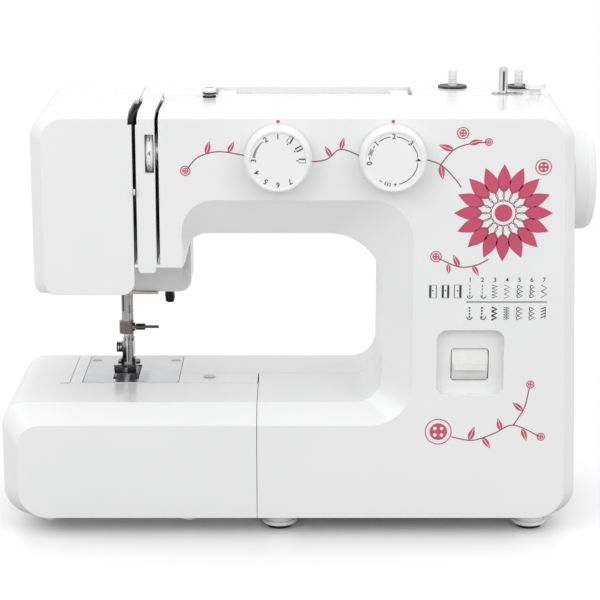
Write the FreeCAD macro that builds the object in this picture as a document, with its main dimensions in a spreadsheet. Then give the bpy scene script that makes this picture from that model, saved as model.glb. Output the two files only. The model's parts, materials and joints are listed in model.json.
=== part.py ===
import FreeCAD, Part
import Sketcher
import math
import os

Vector = FreeCAD.Vector
doc = FreeCAD.newDocument("sewing_machine")
sheet = doc.addObject("Spreadsheet::Sheet", "Sizes")

# Driving sizes in millimetres and degrees. X runs to the right, Y to the back and Z up.
sizes = {
    # Overall box.
    "half_width": 199.0,
    "half_depth": 75.0,
    "full_height": 304.0,
    # Wall, bevels and clearances of the covers.
    "wall": 2.5,
    "dial_rise": 13.0,
    "bevel_depth": 13.0,
    "rear_depth": 55.0,
    "rear_bevel": 8.0,
    "rear_inset": 5.0,
    "seam_gap": 0.4,
    "open_cut": 1.0,
    "fit_gap": 0.05,
    "part_gap": 0.4,
    "move_gap": 0.6,
    # Housing contour seen from the front.
    "column_inset": 21.6,
    "column_width": 123.0,
    "side_lean": 1.7,
    "side_inset": 8.4,
    "spindle_rise": 18.5,
    "top_inset": 3.5,
    "arm_height": 80.5,
    "base_height": 11.0,
    "base_inset": 2.0,
    "bed_height": 90.0,
    "bed_flare": 12.5,
    "throat_right_flare": 19.3,
    "throat_top_flare": 24.5,
    "head_setback": 24.7,
    "head_width": 98.9,
    "head_flare": 1.0,
    "needle_space": 59.0,
    "tongue_drop": 20.0,
    "face_width": 66.8,
    "face_rise": 17.5,
    "face_rise_mid": 14.5,
    "lamp_length": 41.0,
    "table_length": 170.1,
    "table_end": 34.6,
    "table_inset": 10.5,
    "arm_depth": 80.0,
    "arm_clearance": 8.0,
    "radius_low_front": 28.0,
    "radius_low": 18.0,
    "radius_high_front": 28.0,
    "radius_high": 36.0,
    "radius_head_front": 21.0,
    "radius_head": 15.0,
    "radius_right_front": 15.5,
    "radius_right": 22.0,
    "radius_right_seam": 17.0,
    "radius_right_rear": 13.0,
    "radius_foot": 19.0,
    "radius_left_front": 15.0,
    "radius_left": 18.0,
    "radius_left_seam": 15.0,
    "radius_left_rear": 12.0,
    "radius_face_low": 9.0,
    "radius_lobe": 8.0,
    "radius_arm": 8.0,
    "table_radius": 16.0,
    "table_radius_low": 20.0,
    # Thread slots, tension window, take up lever.
    "slot_width": 2.4,
    "slot_spacing": 15.8,
    "slot_rise": 2.0,
    "slot_margin": 14.0,
    "lever_opening_margin": 22.0,
    "lever_opening_width": 3.4,
    "lever_opening_drop": 7.5,
    "window_start": 8.2,
    "window_width": 5.8,
    "window_height": 25.0,
    "tension_drop": 26.0,
    "tension_setback": 16.0,
    "tension_radius": 15.8,
    "take_up_drop": 45.5,
    "take_up_setback": 27.0,
    "take_up_tip": 3.5,
    "take_up_dip": 5.0,
    "take_up_thick": 1.4,
    "take_up_hub": 6.0,
    # Dials and reverse lever.
    "dial_radius": 21.7,
    "dial_drop": 28.3,
    "dial_spacing": 73.4,
    "dial_offset": 5.0,
    "dial_spindle": 4.0,
    "selector_cam": 15.2,
    "length_cam": 10.8,
    "recess_offset": 43.6,
    "recess_width": 44.3,
    "recess_rise": 8.0,
    "recess_height": 45.0,
    "recess_depth": 6.0,
    "recess_radius": 7.0,
    "lever_offset": 53.1,
    "lever_width": 24.9,
    "lever_rise": 16.7,
    "lever_height": 22.6,
    "drum_radius": 18.8,
    "drum_setback": 24.0,
    "ear_half": 5.0,
    # Shafts and drive.
    "shaft_inset": 53.0,
    "shaft_rise": 22.5,
    "shaft_radius": 5.0,
    "wheel_radius": 33.7,
    "wheel_width": 18.0,
    "knob_radius": 14.8,
    "lower_inset": 45.0,
    "lower_drop": 38.0,
    "belt_thick": 2.0,
    "belt_gap": 0.3,
    "flange_rise": 3.0,
    "flange_thick": 1.5,
    "drive_radius": 32.0,
    "motor_pulley_radius": 9.0,
    "timing_radius": 12.0,
    "motor_setback": 38.0,
    "motor_rise": 51.0,
    "motor_radius": 24.0,
    "motor_length": 59.9,
    "motor_offset": 40.6,
    "bush_wall": 3.0,
    "thin_bush_wall": 1.05,
    # Head: needle, presser and lifter.
    "needle_offset": 53.4,
    "needle_bar_radius": 3.25,
    "needle_bar_drop": 14.5,
    "crank_throw": 14.5,
    "crank_angle": 75.0,
    "clamp_rise": 29.0,
    "clamp_height": 8.5,
    "clamp_radius": 5.0,
    "needle_rise": 1.5,
    "needle_radius": 0.4,
    "shank_radius": 1.0,
    "presser_offset": 16.0,
    "presser_radius": 3.5,
    "foot_rise": 2.5,
    "foot_width": 15.4,
    "foot_thick": 1.75,
    "lifter_offset": 27.0,
    "lifter_rise": 19.0,
    "lifter_radius": 11.0,
    "lifter_throw": 5.23,
    "lifter_lag": 35.0,
    "lifter_arm": 33.3,
    "lifter_grip": 10.9,
    "lifter_length": 41.1,
    "lifter_thick": 7.5,
    # Frame casting.
    "frame_inset": 30.0,
    "frame_thick": 5.0,
    "frame_radius": 6.0,
    "frame_margin": 10.0,
    # Bed: plate, feed and hook.
    "plate_left_reach": 29.0,
    "plate_right_reach": 37.0,
    "plate_near_gap": 3.0,
    "plate_far_inset": 12.0,
    "plate_thick": 2.0,
    "hook_drop": 32.0,
    "race_radius": 22.0,
    "hook_radius": 17.2,
    # Top: handle, spool pins, bobbin winder.
    "handle_overhang": 19.7,
    "handle_length": 130.0,
    "handle_bar": 12.0,
    "handle_near_gap": 4.0,
    "handle_inset": 21.0,
    "handle_thick": 11.5,
    "handle_depth": 14.0,
    "spool_back_inset": 15.0,
    "spool_inset": 25.3,
    "spool_spacing": 46.0,
    "spool_radius": 3.0,
    "left_spool_rise": 14.5,
    "right_spool_rise": 13.5,
    "felt_radius": 10.0,
    "felt_thick": 1.5,
    "winder_inset": 39.3,
    "winder_setback": 8.0,
    "winder_travel": 6.0,
    "stopper_gap": 22.0,
    "guide_offset": 63.0,
    # Right side and underside.
    "switch_setback": 46.0,
    "switch_rise": 51.0,
    "switch_half_width": 10.0,
    "switch_half_height": 15.0,
    "switch_pivot": 5.0,
    "inlet_inset": 27.0,
    "inlet_rise": 39.0,
    "inlet_half_width": 12.5,
    "inlet_half_height": 10.0,
    "foot_radius": 10.0,
    "foot_left_gap": 15.0,
    "foot_right_inset": 21.8,
    "foot_near_gap": 22.0,
    "foot_far_inset": 17.0,
}
for row, (alias, value) in enumerate(sizes.items(), start=1):
    sheet.set("A%d" % row, alias)
    sheet.set("B%d" % row, str(value))
    sheet.setAlias("B%d" % row, alias)
doc.recompute()


class Dim:
    # A length that knows both its value and the sheet expression it comes from.
    def __init__(self, value, text):
        self.value = value
        self.text = text

    def __add__(self, other):
        other = dim(other)
        return Dim(self.value + other.value, "(%s + %s)" % (self.text, other.text))

    def __radd__(self, other):
        return dim(other) + self

    def __sub__(self, other):
        other = dim(other)
        return Dim(self.value - other.value, "(%s - %s)" % (self.text, other.text))

    def __rsub__(self, other):
        return dim(other) - self

    def __mul__(self, other):
        other = dim(other)
        return Dim(self.value * other.value, "(%s * %s)" % (self.text, other.text))

    def __rmul__(self, other):
        return dim(other) * self

    def __truediv__(self, other):
        other = dim(other)
        return Dim(self.value / other.value, "(%s / %s)" % (self.text, other.text))

    def __neg__(self):
        return Dim(-self.value, "(-%s)" % self.text)


def dim(size):
    if isinstance(size, Dim):
        return size
    return Dim(float(size), "(%.6f)" % float(size))


class SizeTable:
    # Gives each named size as a Dim, and each place that is worked out from named sizes.
    def __getattr__(self, alias):
        return Dim(float(sizes[alias]), "Sizes." + alias)

    def place(self, **places):
        for name, size in places.items():
            setattr(self, name, size)


S = SizeTable()
# Planes and heights of the housing.
S.place(front_depth=S.half_depth - S.dial_rise, seam_depth=S.half_depth - S.rear_depth,
        top_height=S.full_height - S.spindle_rise, column_right=S.half_width - S.column_inset,
        head_left=S.head_setback - S.half_width, head_bottom=S.bed_height + S.needle_space,
        table_seam=S.table_length - S.half_width, arm_left=S.table_end - S.half_width,
        arm_front=S.half_depth - S.arm_depth, wheel_start=S.half_width - S.wheel_width,
        arm_bottom=S.bed_height - S.hook_drop - S.race_radius - S.arm_clearance)
S.place(throat_right=S.column_right - S.column_width, throat_top=S.top_height - S.arm_height,
        head_right=S.head_left + S.head_width, face_seam=S.head_left + S.face_width,
        face_bottom=S.head_bottom + S.face_rise, face_bottom_mid=S.head_bottom + S.face_rise_mid,
        lean_start=S.top_height - S.radius_right)
S.place(tongue_bottom=S.throat_top - S.tongue_drop)
# Shafts, motor and frame.
S.place(shaft_depth=S.half_depth - S.shaft_inset, shaft_height=S.throat_top + S.shaft_rise,
        lower_depth=S.half_depth - S.lower_inset, lower_height=S.bed_height - S.lower_drop,
        motor_depth=S.motor_setback - S.front_depth, motor_height=S.base_height + S.motor_rise,
        motor_right=S.column_right - S.motor_offset, plate_front=S.half_depth - S.frame_inset)
S.place(plate_back=S.plate_front + S.frame_thick, motor_left=S.motor_right - S.motor_length,
        needle_depth=S.shaft_depth, needle_across=S.head_left + S.needle_offset)
# Head: slots, tension, take up lever, needle and presser.
S.place(slot_right=S.face_seam + S.slot_spacing, slot_bottom=S.tongue_bottom + S.slot_rise,
        slot_back=S.seam_depth - S.slot_margin, lever_opening_back=S.seam_depth - S.lever_opening_margin,
        lever_opening_bottom=S.top_height - S.lever_opening_drop,
        window_left=S.face_seam + S.window_start, tension_height=S.top_height - S.tension_drop,
        tension_depth=S.tension_setback - S.front_depth, take_up_height=S.top_height - S.take_up_drop,
        take_up_depth=S.shaft_depth - S.take_up_setback)
S.place(window_right=S.window_left + S.window_width,
        take_up_reach=S.take_up_depth + S.front_depth + S.take_up_tip,
        clamp_low=S.bed_height + S.clamp_rise, needle_tip=S.bed_height + S.needle_rise,
        presser_depth=S.needle_depth + S.presser_offset, foot_sole=S.bed_height + S.foot_rise,
        lifter_across=S.needle_across + S.lifter_offset, lifter_height=S.head_bottom + S.lifter_rise)
S.place(clamp_high=S.clamp_low + S.clamp_height)
# Dials and reverse lever.
S.place(dial_height=S.top_height - S.dial_drop, length_across=S.throat_right + S.dial_offset,
        recess_right=S.column_right - S.recess_offset, recess_low=S.bed_height + S.recess_rise,
        lever_right=S.column_right - S.lever_offset, lever_low=S.bed_height + S.lever_rise,
        drum_depth=S.drum_setback - S.front_depth)
S.place(selector_across=S.length_across - S.dial_spacing, recess_left=S.recess_right - S.recess_width,
        recess_high=S.recess_low + S.recess_height, lever_left=S.lever_right - S.lever_width,
        lever_high=S.lever_low + S.lever_height)
S.place(lever_middle=(S.lever_low + S.lever_high) / 2)
# Bed and top.
S.place(plate_left=S.needle_across - S.plate_left_reach, plate_right=S.needle_across + S.plate_right_reach,
        plate_near=S.arm_front + S.plate_near_gap, plate_far=S.half_depth - S.plate_far_inset,
        hook_height=S.bed_height - S.hook_drop, handle_right=S.throat_right + S.handle_overhang,
        handle_near=S.seam_depth + S.handle_near_gap, handle_pivot=S.half_depth - S.handle_inset,
        spool_depth=S.half_depth - S.spool_back_inset, spool_right=S.column_right - S.spool_inset,
        winder_across=S.column_right - S.winder_inset, winder_depth=S.seam_depth + S.winder_setback)
S.place(handle_left=S.handle_right - S.handle_length, handle_height=S.top_height - S.handle_depth / 2,
        spool_left=S.spool_right - S.spool_spacing, stopper_across=S.winder_across + S.stopper_gap)
# Right side and underside.
S.place(switch_depth=S.switch_setback - S.front_depth, switch_height=S.base_height + S.switch_rise,
        inlet_depth=S.half_depth - S.inlet_inset, inlet_height=S.base_height + S.inlet_rise,
        foot_left=S.table_seam + S.foot_left_gap, foot_right=S.column_right - S.foot_right_inset,
        foot_near=S.foot_near_gap - S.front_depth, foot_far=S.half_depth - S.foot_far_inset)
nodes = []
turns = {
    "Z": FreeCAD.Rotation(),
    "X": FreeCAD.Rotation(Vector(0, 1, 0), 90),
    "Y": FreeCAD.Rotation(Vector(1, 0, 0), -90),
    "-Y": FreeCAD.Rotation(Vector(1, 0, 0), 90),
}


def bind(target, prop, size):
    target.setExpression(prop, dim(size).text)


def put(target, x, y, z, axis="Z"):
    x, y, z = dim(x), dim(y), dim(z)
    target.Placement = FreeCAD.Placement(Vector(x.value, y.value, z.value), turns[axis])
    bind(target, "Placement.Base.x", x)
    bind(target, "Placement.Base.y", y)
    bind(target, "Placement.Base.z", z)
    return target


def box(x0, x1, y0, y1, z0, z1):
    block = doc.addObject("Part::Box", "block")
    bind(block, "Length", dim(x1) - x0)
    bind(block, "Width", dim(y1) - y0)
    bind(block, "Height", dim(z1) - z0)
    return put(block, x0, y0, z0)


def along(axis, pair, start):
    if axis == "X":
        return start, pair[0], pair[1]
    if axis == "Y":
        return pair[0], start, pair[1]
    return pair[0], pair[1], start


def rod(axis, pair, start, end, radius):
    cylinder = doc.addObject("Part::Cylinder", "rod")
    bind(cylinder, "Radius", radius)
    bind(cylinder, "Height", dim(end) - start)
    return put(cylinder, *along(axis, pair, start), axis)


def cone(axis, pair, start, end, first, last):
    taper = doc.addObject("Part::Cone", "taper")
    bind(taper, "Radius1", first)
    bind(taper, "Radius2", last)
    bind(taper, "Height", dim(end) - start)
    return put(taper, *along(axis, pair, start), axis)


def fuse(*shapes):
    joined = doc.addObject("Part::MultiFuse", "joined")
    joined.Shapes = list(shapes)
    joined.Refine = True
    return joined


def cut(base, *tools):
    result = doc.addObject("Part::Cut", "cut")
    result.Base = base
    result.Tool = tools[0] if len(tools) == 1 else group(*tools)
    return result


def common(base, tool):
    result = doc.addObject("Part::Common", "common")
    result.Base = base
    result.Tool = tool
    return result


def group(*shapes):
    compound = doc.addObject("Part::Compound", "group")
    compound.Links = list(shapes)
    return compound


def rounded(base, radius, pick):
    # Rounds the edges that the pick test accepts, each judged by its middle point.
    doc.recompute()
    edges = []
    for number, edge in enumerate(base.Shape.Edges, start=1):
        middle = edge.valueAt((edge.FirstParameter + edge.LastParameter) / 2)
        if pick(edge, middle):
            edges.append((number, radius.value, radius.value))
    fillet = doc.addObject("Part::Fillet", "rounded")
    fillet.Base = base
    fillet.Edges = edges
    return fillet


def node(label, shape):
    shape.Label = label
    nodes.append(shape)
    return shape


def new_body(name):
    return doc.addObject("PartDesign::Body", name)


def plane_of(body, role):
    return [item for item in body.Origin.OriginFeatures if item.Role == role][0]


def new_sketch(body, role, offset):
    sketch = body.newObject("Sketcher::SketchObject", "profile")
    sketch.AttachmentSupport = [(plane_of(body, role), "")]
    sketch.MapMode = "FlatFace"
    shift = -dim(offset) if role == "XZ_Plane" else dim(offset)
    sketch.AttachmentOffset = FreeCAD.Placement(Vector(0, 0, shift.value), FreeCAD.Rotation())
    bind(sketch, "AttachmentOffset.Base.z", shift)
    return sketch


def hold(sketch, kind, geometry, point, size):
    # Ties one coordinate of a sketch point to a size.
    index = sketch.addConstraint(Sketcher.Constraint(kind, -1, 1, geometry, point, dim(size).value))
    bind(sketch, "Constraints[%d]" % index, size)


def set_radius(sketch, geometry, size):
    index = sketch.addConstraint(Sketcher.Constraint("Radius", geometry, dim(size).value))
    bind(sketch, "Constraints[%d]" % index, size)


def contour(body, role, offset, lines, radii):
    # Closed outline of upright and level lines with rounded corners, run clockwise.
    # An upright line may lean outward as it runs down, and its size is then held at its upper end.
    sketch = new_sketch(body, role, offset)
    count = len(lines)

    def corner(i):
        first, second = lines[i % count], lines[(i + 1) % count]
        across = first[1] if first[0] == "V" else second[1]
        up = first[1] if first[0] == "H" else second[1]
        return Vector(dim(across).value, dim(up).value, 0)

    corners = [corner(i) for i in range(count)]
    starts, ends = [None] * count, [None] * count
    for i in range(count):
        radius = 0.0 if radii[i] is None else dim(radii[i]).value
        back = (corners[i - 1] - corners[i]).normalize()
        ahead = (corners[(i + 1) % count] - corners[i]).normalize()
        ends[i] = corners[i] + back * radius
        starts[(i + 1) % count] = corners[i] + ahead * radius
    for i in range(count):
        sketch.addGeometry(Part.LineSegment(starts[i], ends[i]), False)
    for i in range(count):
        kind, size, *lean = lines[i]
        if lean:
            angle = math.radians(lean[0].value - 90)
            index = sketch.addConstraint(Sketcher.Constraint("Angle", i, angle))
            bind(sketch, "Constraints[%d]" % index, (lean[0] - 90) * Dim(1.0, "1 deg"))
        else:
            sketch.addConstraint(Sketcher.Constraint("Vertical" if kind == "V" else "Horizontal", i))
        hold(sketch, "DistanceX" if kind == "V" else "DistanceY", i, 1, size)
    for i in range(count):
        following = (i + 1) % count
        if radii[i] is None:
            sketch.addConstraint(Sketcher.Constraint("Coincident", i, 2, following, 1))
            continue
        first, second = ends[i], starts[following]
        inward = (corners[i - 1] - corners[i]).normalize() + (corners[following] - corners[i]).normalize()
        centre = corners[i] + inward * dim(radii[i]).value
        turn = (corners[i] - first).cross(second - corners[i]).z
        begin, finish = (1, 2) if turn > 0 else (2, 1)
        opening = (first if turn > 0 else second) - centre
        angle = math.atan2(opening.y, opening.x)
        circle = Part.Circle(centre, Vector(0, 0, 1), dim(radii[i]).value)
        arc = sketch.addGeometry(Part.ArcOfCircle(circle, angle, angle + math.pi / 2), False)
        sketch.addConstraint(Sketcher.Constraint("Tangent", i, 2, arc, begin))
        sketch.addConstraint(Sketcher.Constraint("Tangent", following, 1, arc, finish))
        set_radius(sketch, arc, radii[i])
    return sketch


def inset(lines, radii, amount, opened=(), fixed=()):
    # The same outline moved inward, with the opened lines moved outward past the skin.
    count = len(lines)
    amount = dim(amount)
    moved, corners = [], []
    for i, (kind, size, *lean) in enumerate(lines):
        rise = dim(lines[(i + 1) % count][1]).value - dim(lines[i - 1][1]).value
        sign = 1 if (rise > 0) == (kind == "V") else -1
        shift = -S.open_cut if i in opened else amount
        if i in fixed:
            shift = dim(0)
        moved.append((kind, dim(size) + shift * sign, *lean))
    for i, radius in enumerate(radii):
        if radius is None:
            corners.append(None)
            continue
        before, here = lines[i - 1], lines[i]
        after, later = lines[(i + 1) % count], lines[(i + 2) % count]
        step_in = dim(after[1]).value - dim(before[1]).value
        step_out = dim(later[1]).value - dim(here[1]).value
        turn = step_in * step_out if here[0] == "H" else -step_in * step_out
        radius = dim(radius)
        if turn > 0:
            corners.append(radius + amount)
        elif radius.value > amount.value + S.move_gap.value:
            corners.append(radius - amount)
        else:
            corners.append(radius / 4)
    return moved, corners


def loft(body, sections, hollow=False):
    # Ruled skin through outlines standing at several depths.
    sketches = [contour(body, "XZ_Plane", depth, *outline) for depth, outline in sections]
    doc.recompute()
    kind = "PartDesign::SubtractiveLoft" if hollow else "PartDesign::AdditiveLoft"
    skin = body.newObject(kind, "skin")
    skin.Profile = sketches[0]
    skin.Sections = sketches[1:]
    skin.Ruled = True
    doc.recompute()
    return skin


def prism(name, role, start, end, lines, radii):
    body = new_body(name)
    sketch = contour(body, role, start, lines, radii)
    pad = body.newObject("PartDesign::Pad", "pad")
    pad.Profile = sketch
    bind(pad, "Length", dim(end) - start)
    pad.Reversed = role == "XZ_Plane"
    return body


def frame_lines(left, right, low, high):
    return [("V", left), ("H", high), ("V", right), ("H", low)]


def turned(name, axis, centre, points):
    # Solid of revolution from distance along the axis and radius, one pair for each corner.
    body = new_body(name)
    sketch = new_sketch(body, "XZ_Plane", 0)
    count = len(points)
    spots = [Vector(dim(radius).value, dim(height).value, 0) for height, radius in points]
    for i in range(count):
        sketch.addGeometry(Part.LineSegment(spots[i], spots[(i + 1) % count]), False)
    for i in range(count):
        sketch.addConstraint(Sketcher.Constraint("Coincident", i, 2, (i + 1) % count, 1))
    for i, (height, radius) in enumerate(points):
        hold(sketch, "DistanceX", i, 1, radius)
        hold(sketch, "DistanceY", i, 1, height)
    spin = body.newObject("PartDesign::Revolution", "spin")
    spin.Profile = sketch
    spin.ReferenceAxis = (sketch, ["V_Axis"])
    spin.Angle = 360
    return put(body, *centre, axis)


def strap(name, start, end, first, first_radius, last, last_radius):
    # Plate round two circles and their outer tangents, standing across X.
    body = new_body(name)
    sketch = new_sketch(body, "YZ_Plane", start)
    a = Vector(dim(first[0]).value, dim(first[1]).value, 0)
    b = Vector(dim(last[0]).value, dim(last[1]).value, 0)
    ra, rb = dim(first_radius).value, dim(last_radius).value
    ahead = (b - a).normalize()
    side = Vector(-ahead.y, ahead.x, 0)
    lean = (ra - rb) / (b - a).Length
    flat = math.sqrt(1 - lean * lean)
    left, right = side * flat + ahead * lean, ahead * lean - side * flat
    facing = math.atan2(ahead.y, ahead.x)
    spread = math.acos(lean)
    normal = Vector(0, 0, 1)
    sketch.addGeometry(Part.LineSegment(a + left * ra, b + left * rb), False)
    sketch.addGeometry(Part.LineSegment(b + right * rb, a + right * ra), False)
    round_b = Part.ArcOfCircle(Part.Circle(b, normal, rb), facing - spread, facing + spread)
    round_a = Part.ArcOfCircle(Part.Circle(a, normal, ra), facing + spread, facing - spread + 2 * math.pi)
    sketch.addGeometry(round_b, False)
    sketch.addGeometry(round_a, False)
    for line, end_point, arc, arc_point in ((0, 2, 2, 2), (1, 1, 2, 1), (1, 2, 3, 2), (0, 1, 3, 1)):
        sketch.addConstraint(Sketcher.Constraint("Tangent", line, end_point, arc, arc_point))
    for arc, centre, radius in ((2, last, last_radius), (3, first, first_radius)):
        hold(sketch, "DistanceX", arc, 3, centre[0])
        hold(sketch, "DistanceY", arc, 3, centre[1])
        set_radius(sketch, arc, radius)
    pad = body.newObject("PartDesign::Pad", "pad")
    pad.Profile = sketch
    bind(pad, "Length", dim(end) - start)
    return body


front = -S.front_depth
mid = front + S.bevel_depth
rear = S.half_depth
rear_start = S.half_depth - S.rear_bevel
inner_rear = S.half_depth - S.wall


def side_at(height):
    # Outer face of the leaning right side at a height.
    slope = Dim(math.tan(math.radians(S.side_lean.value)), "tan(%s * 1 deg)" % S.side_lean.text)
    return S.column_right + (S.lean_start - height) * slope


def cover_lines(low, right_of_throat, under_arm, head_side, crown, side, base):
    # Front cover outline: bed, throat, head tongue, crown, column side and base.
    return [
        ("V", S.table_seam + S.seam_gap), ("H", low), ("V", right_of_throat), ("H", under_arm),
        ("V", head_side), ("H", S.tongue_bottom), ("V", S.face_seam + S.seam_gap), ("H", crown),
        ("V", side, S.side_lean), ("H", base),
    ]


def front_cover():
    body = new_body("front_shell")
    face = cover_lines(
        S.bed_height - S.bed_flare, S.throat_right + S.throat_right_flare,
        S.throat_top + S.throat_top_flare, S.head_right - S.head_flare, S.top_height - S.top_inset,
        S.column_right - S.side_inset, S.base_height + S.base_inset)
    face_radii = [None, S.radius_low_front, S.radius_high_front, S.radius_head_front, None, None, None,
                  S.radius_right_front, S.radius_foot, None]
    skirt = cover_lines(S.bed_height, S.throat_right, S.throat_top, S.head_right, S.top_height,
                        S.column_right, S.base_height)
    skirt_radii = [None, S.radius_low, S.radius_high, S.radius_head, None, None, None,
                   S.radius_right, S.radius_foot, None]
    back = S.seam_depth - S.seam_gap
    seam_radii = skirt_radii[:7] + [S.radius_right_seam] + skirt_radii[8:]
    loft(body, [(front, (face, face_radii)), (mid, (skirt, skirt_radii)), (back, (skirt, seam_radii))])
    opened = (5, 6)
    face_in = inset(face, face_radii, S.wall, opened)
    skirt_in = inset(skirt, skirt_radii, S.wall, opened)
    seam_in = inset(skirt, seam_radii, S.wall, opened)
    loft(body, [(front + S.wall, face_in), (mid + S.wall, skirt_in), (back + S.open_cut, seam_in)], True)
    # Raised tub behind the reverse lever, with ears that hold its pin.
    tub = S.recess_depth + S.wall
    tub_block = prism("tub", "XZ_Plane", front + S.wall, front + tub, frame_lines(
        S.recess_left - S.wall, S.recess_right + S.wall, S.recess_low - S.wall, S.recess_high + S.wall),
        [S.recess_radius] * 4)
    ear_low, ear_high = S.lever_middle - S.ear_half, S.lever_middle + S.ear_half
    ear_back = S.drum_depth + S.ear_half
    left_ear = box(S.lever_left - 2 * S.wall, S.lever_left - S.part_gap, front + tub, ear_back,
                   ear_low, ear_high)
    right_ear = box(S.lever_right + S.part_gap, S.lever_right + 2 * S.wall, front + tub, ear_back,
                    ear_low, ear_high)
    # Round posts for the front feet.
    post_top = S.base_height + S.wall
    posts = [rod("Z", (across, S.foot_near), S.base_height / 2, post_top, S.foot_radius)
             for across in (S.foot_left, S.foot_right)]
    shell = fuse(body, tub_block, left_ear, right_ear, *posts)
    dish = prism("dish", "XZ_Plane", front - S.open_cut, front + S.recess_depth, frame_lines(
        S.recess_left, S.recess_right, S.recess_low, S.recess_high), [S.recess_radius] * 4)
    throat = prism("lever_window", "XZ_Plane", front, front + 2 * tub, frame_lines(
        S.lever_left, S.lever_right, S.lever_low, S.lever_high), [S.wall] * 4)
    pin = rod("X", (S.drum_depth, S.lever_middle), S.lever_left - 4 * S.wall,
              S.lever_right + 4 * S.wall, S.wall)
    spindle_holes = [rod("Y", (across, S.dial_height), front - S.open_cut, front + 2 * S.wall,
                         S.dial_spindle + S.part_gap) for across in (S.selector_across, S.length_across)]
    seam = S.face_seam + S.seam_gap
    left_slot = box(seam - S.open_cut, S.face_seam + S.slot_width, front - S.open_cut, S.slot_back,
                    S.slot_bottom, S.top_height + S.wall)
    right_slot = box(S.slot_right - S.slot_width / 2, S.slot_right + S.slot_width / 2, front - S.open_cut,
                     S.slot_back, S.slot_bottom, S.top_height + S.wall)
    lever_opening = box(seam - S.open_cut, S.face_seam + S.lever_opening_width, front - S.open_cut,
                        S.lever_opening_back, S.lever_opening_bottom, S.top_height + S.wall)
    window = box(S.window_left, S.window_right, front - S.open_cut, front + 2 * S.wall,
                 S.tension_height - S.window_height / 2, S.tension_height + S.window_height / 2)
    shaft_hole = side_shaft_hole()
    side = side_at(S.switch_height)
    switch_hole = box(side - 2 * S.wall, side + S.wall, S.switch_depth - S.switch_half_width,
                      S.switch_depth + S.switch_half_width, S.switch_height - S.switch_half_height,
                      S.switch_height + S.switch_half_height)
    return node("front_cover", cut(shell, dish, throat, pin, *spindle_holes, left_slot, right_slot,
                                   lever_opening, window, shaft_hole, switch_hole))


def side_shaft_hole():
    side = side_at(S.shaft_height)
    return rod("X", (S.shaft_depth, S.shaft_height), side - 4 * S.wall, side + S.wall, S.shaft_radius * 2)


def rear_lines(lobe):
    # Rear cover outline with the free arm at the lower left.
    return [
        ("V", S.arm_left), ("H", S.bed_height), ("V", S.throat_right), ("H", S.throat_top),
        ("V", S.head_right), ("H", lobe), ("V", S.face_seam + S.seam_gap), ("H", S.top_height),
        ("V", S.column_right, S.side_lean), ("H", S.base_height), ("V", S.table_seam + S.seam_gap),
        ("H", S.arm_bottom),
    ]


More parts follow.
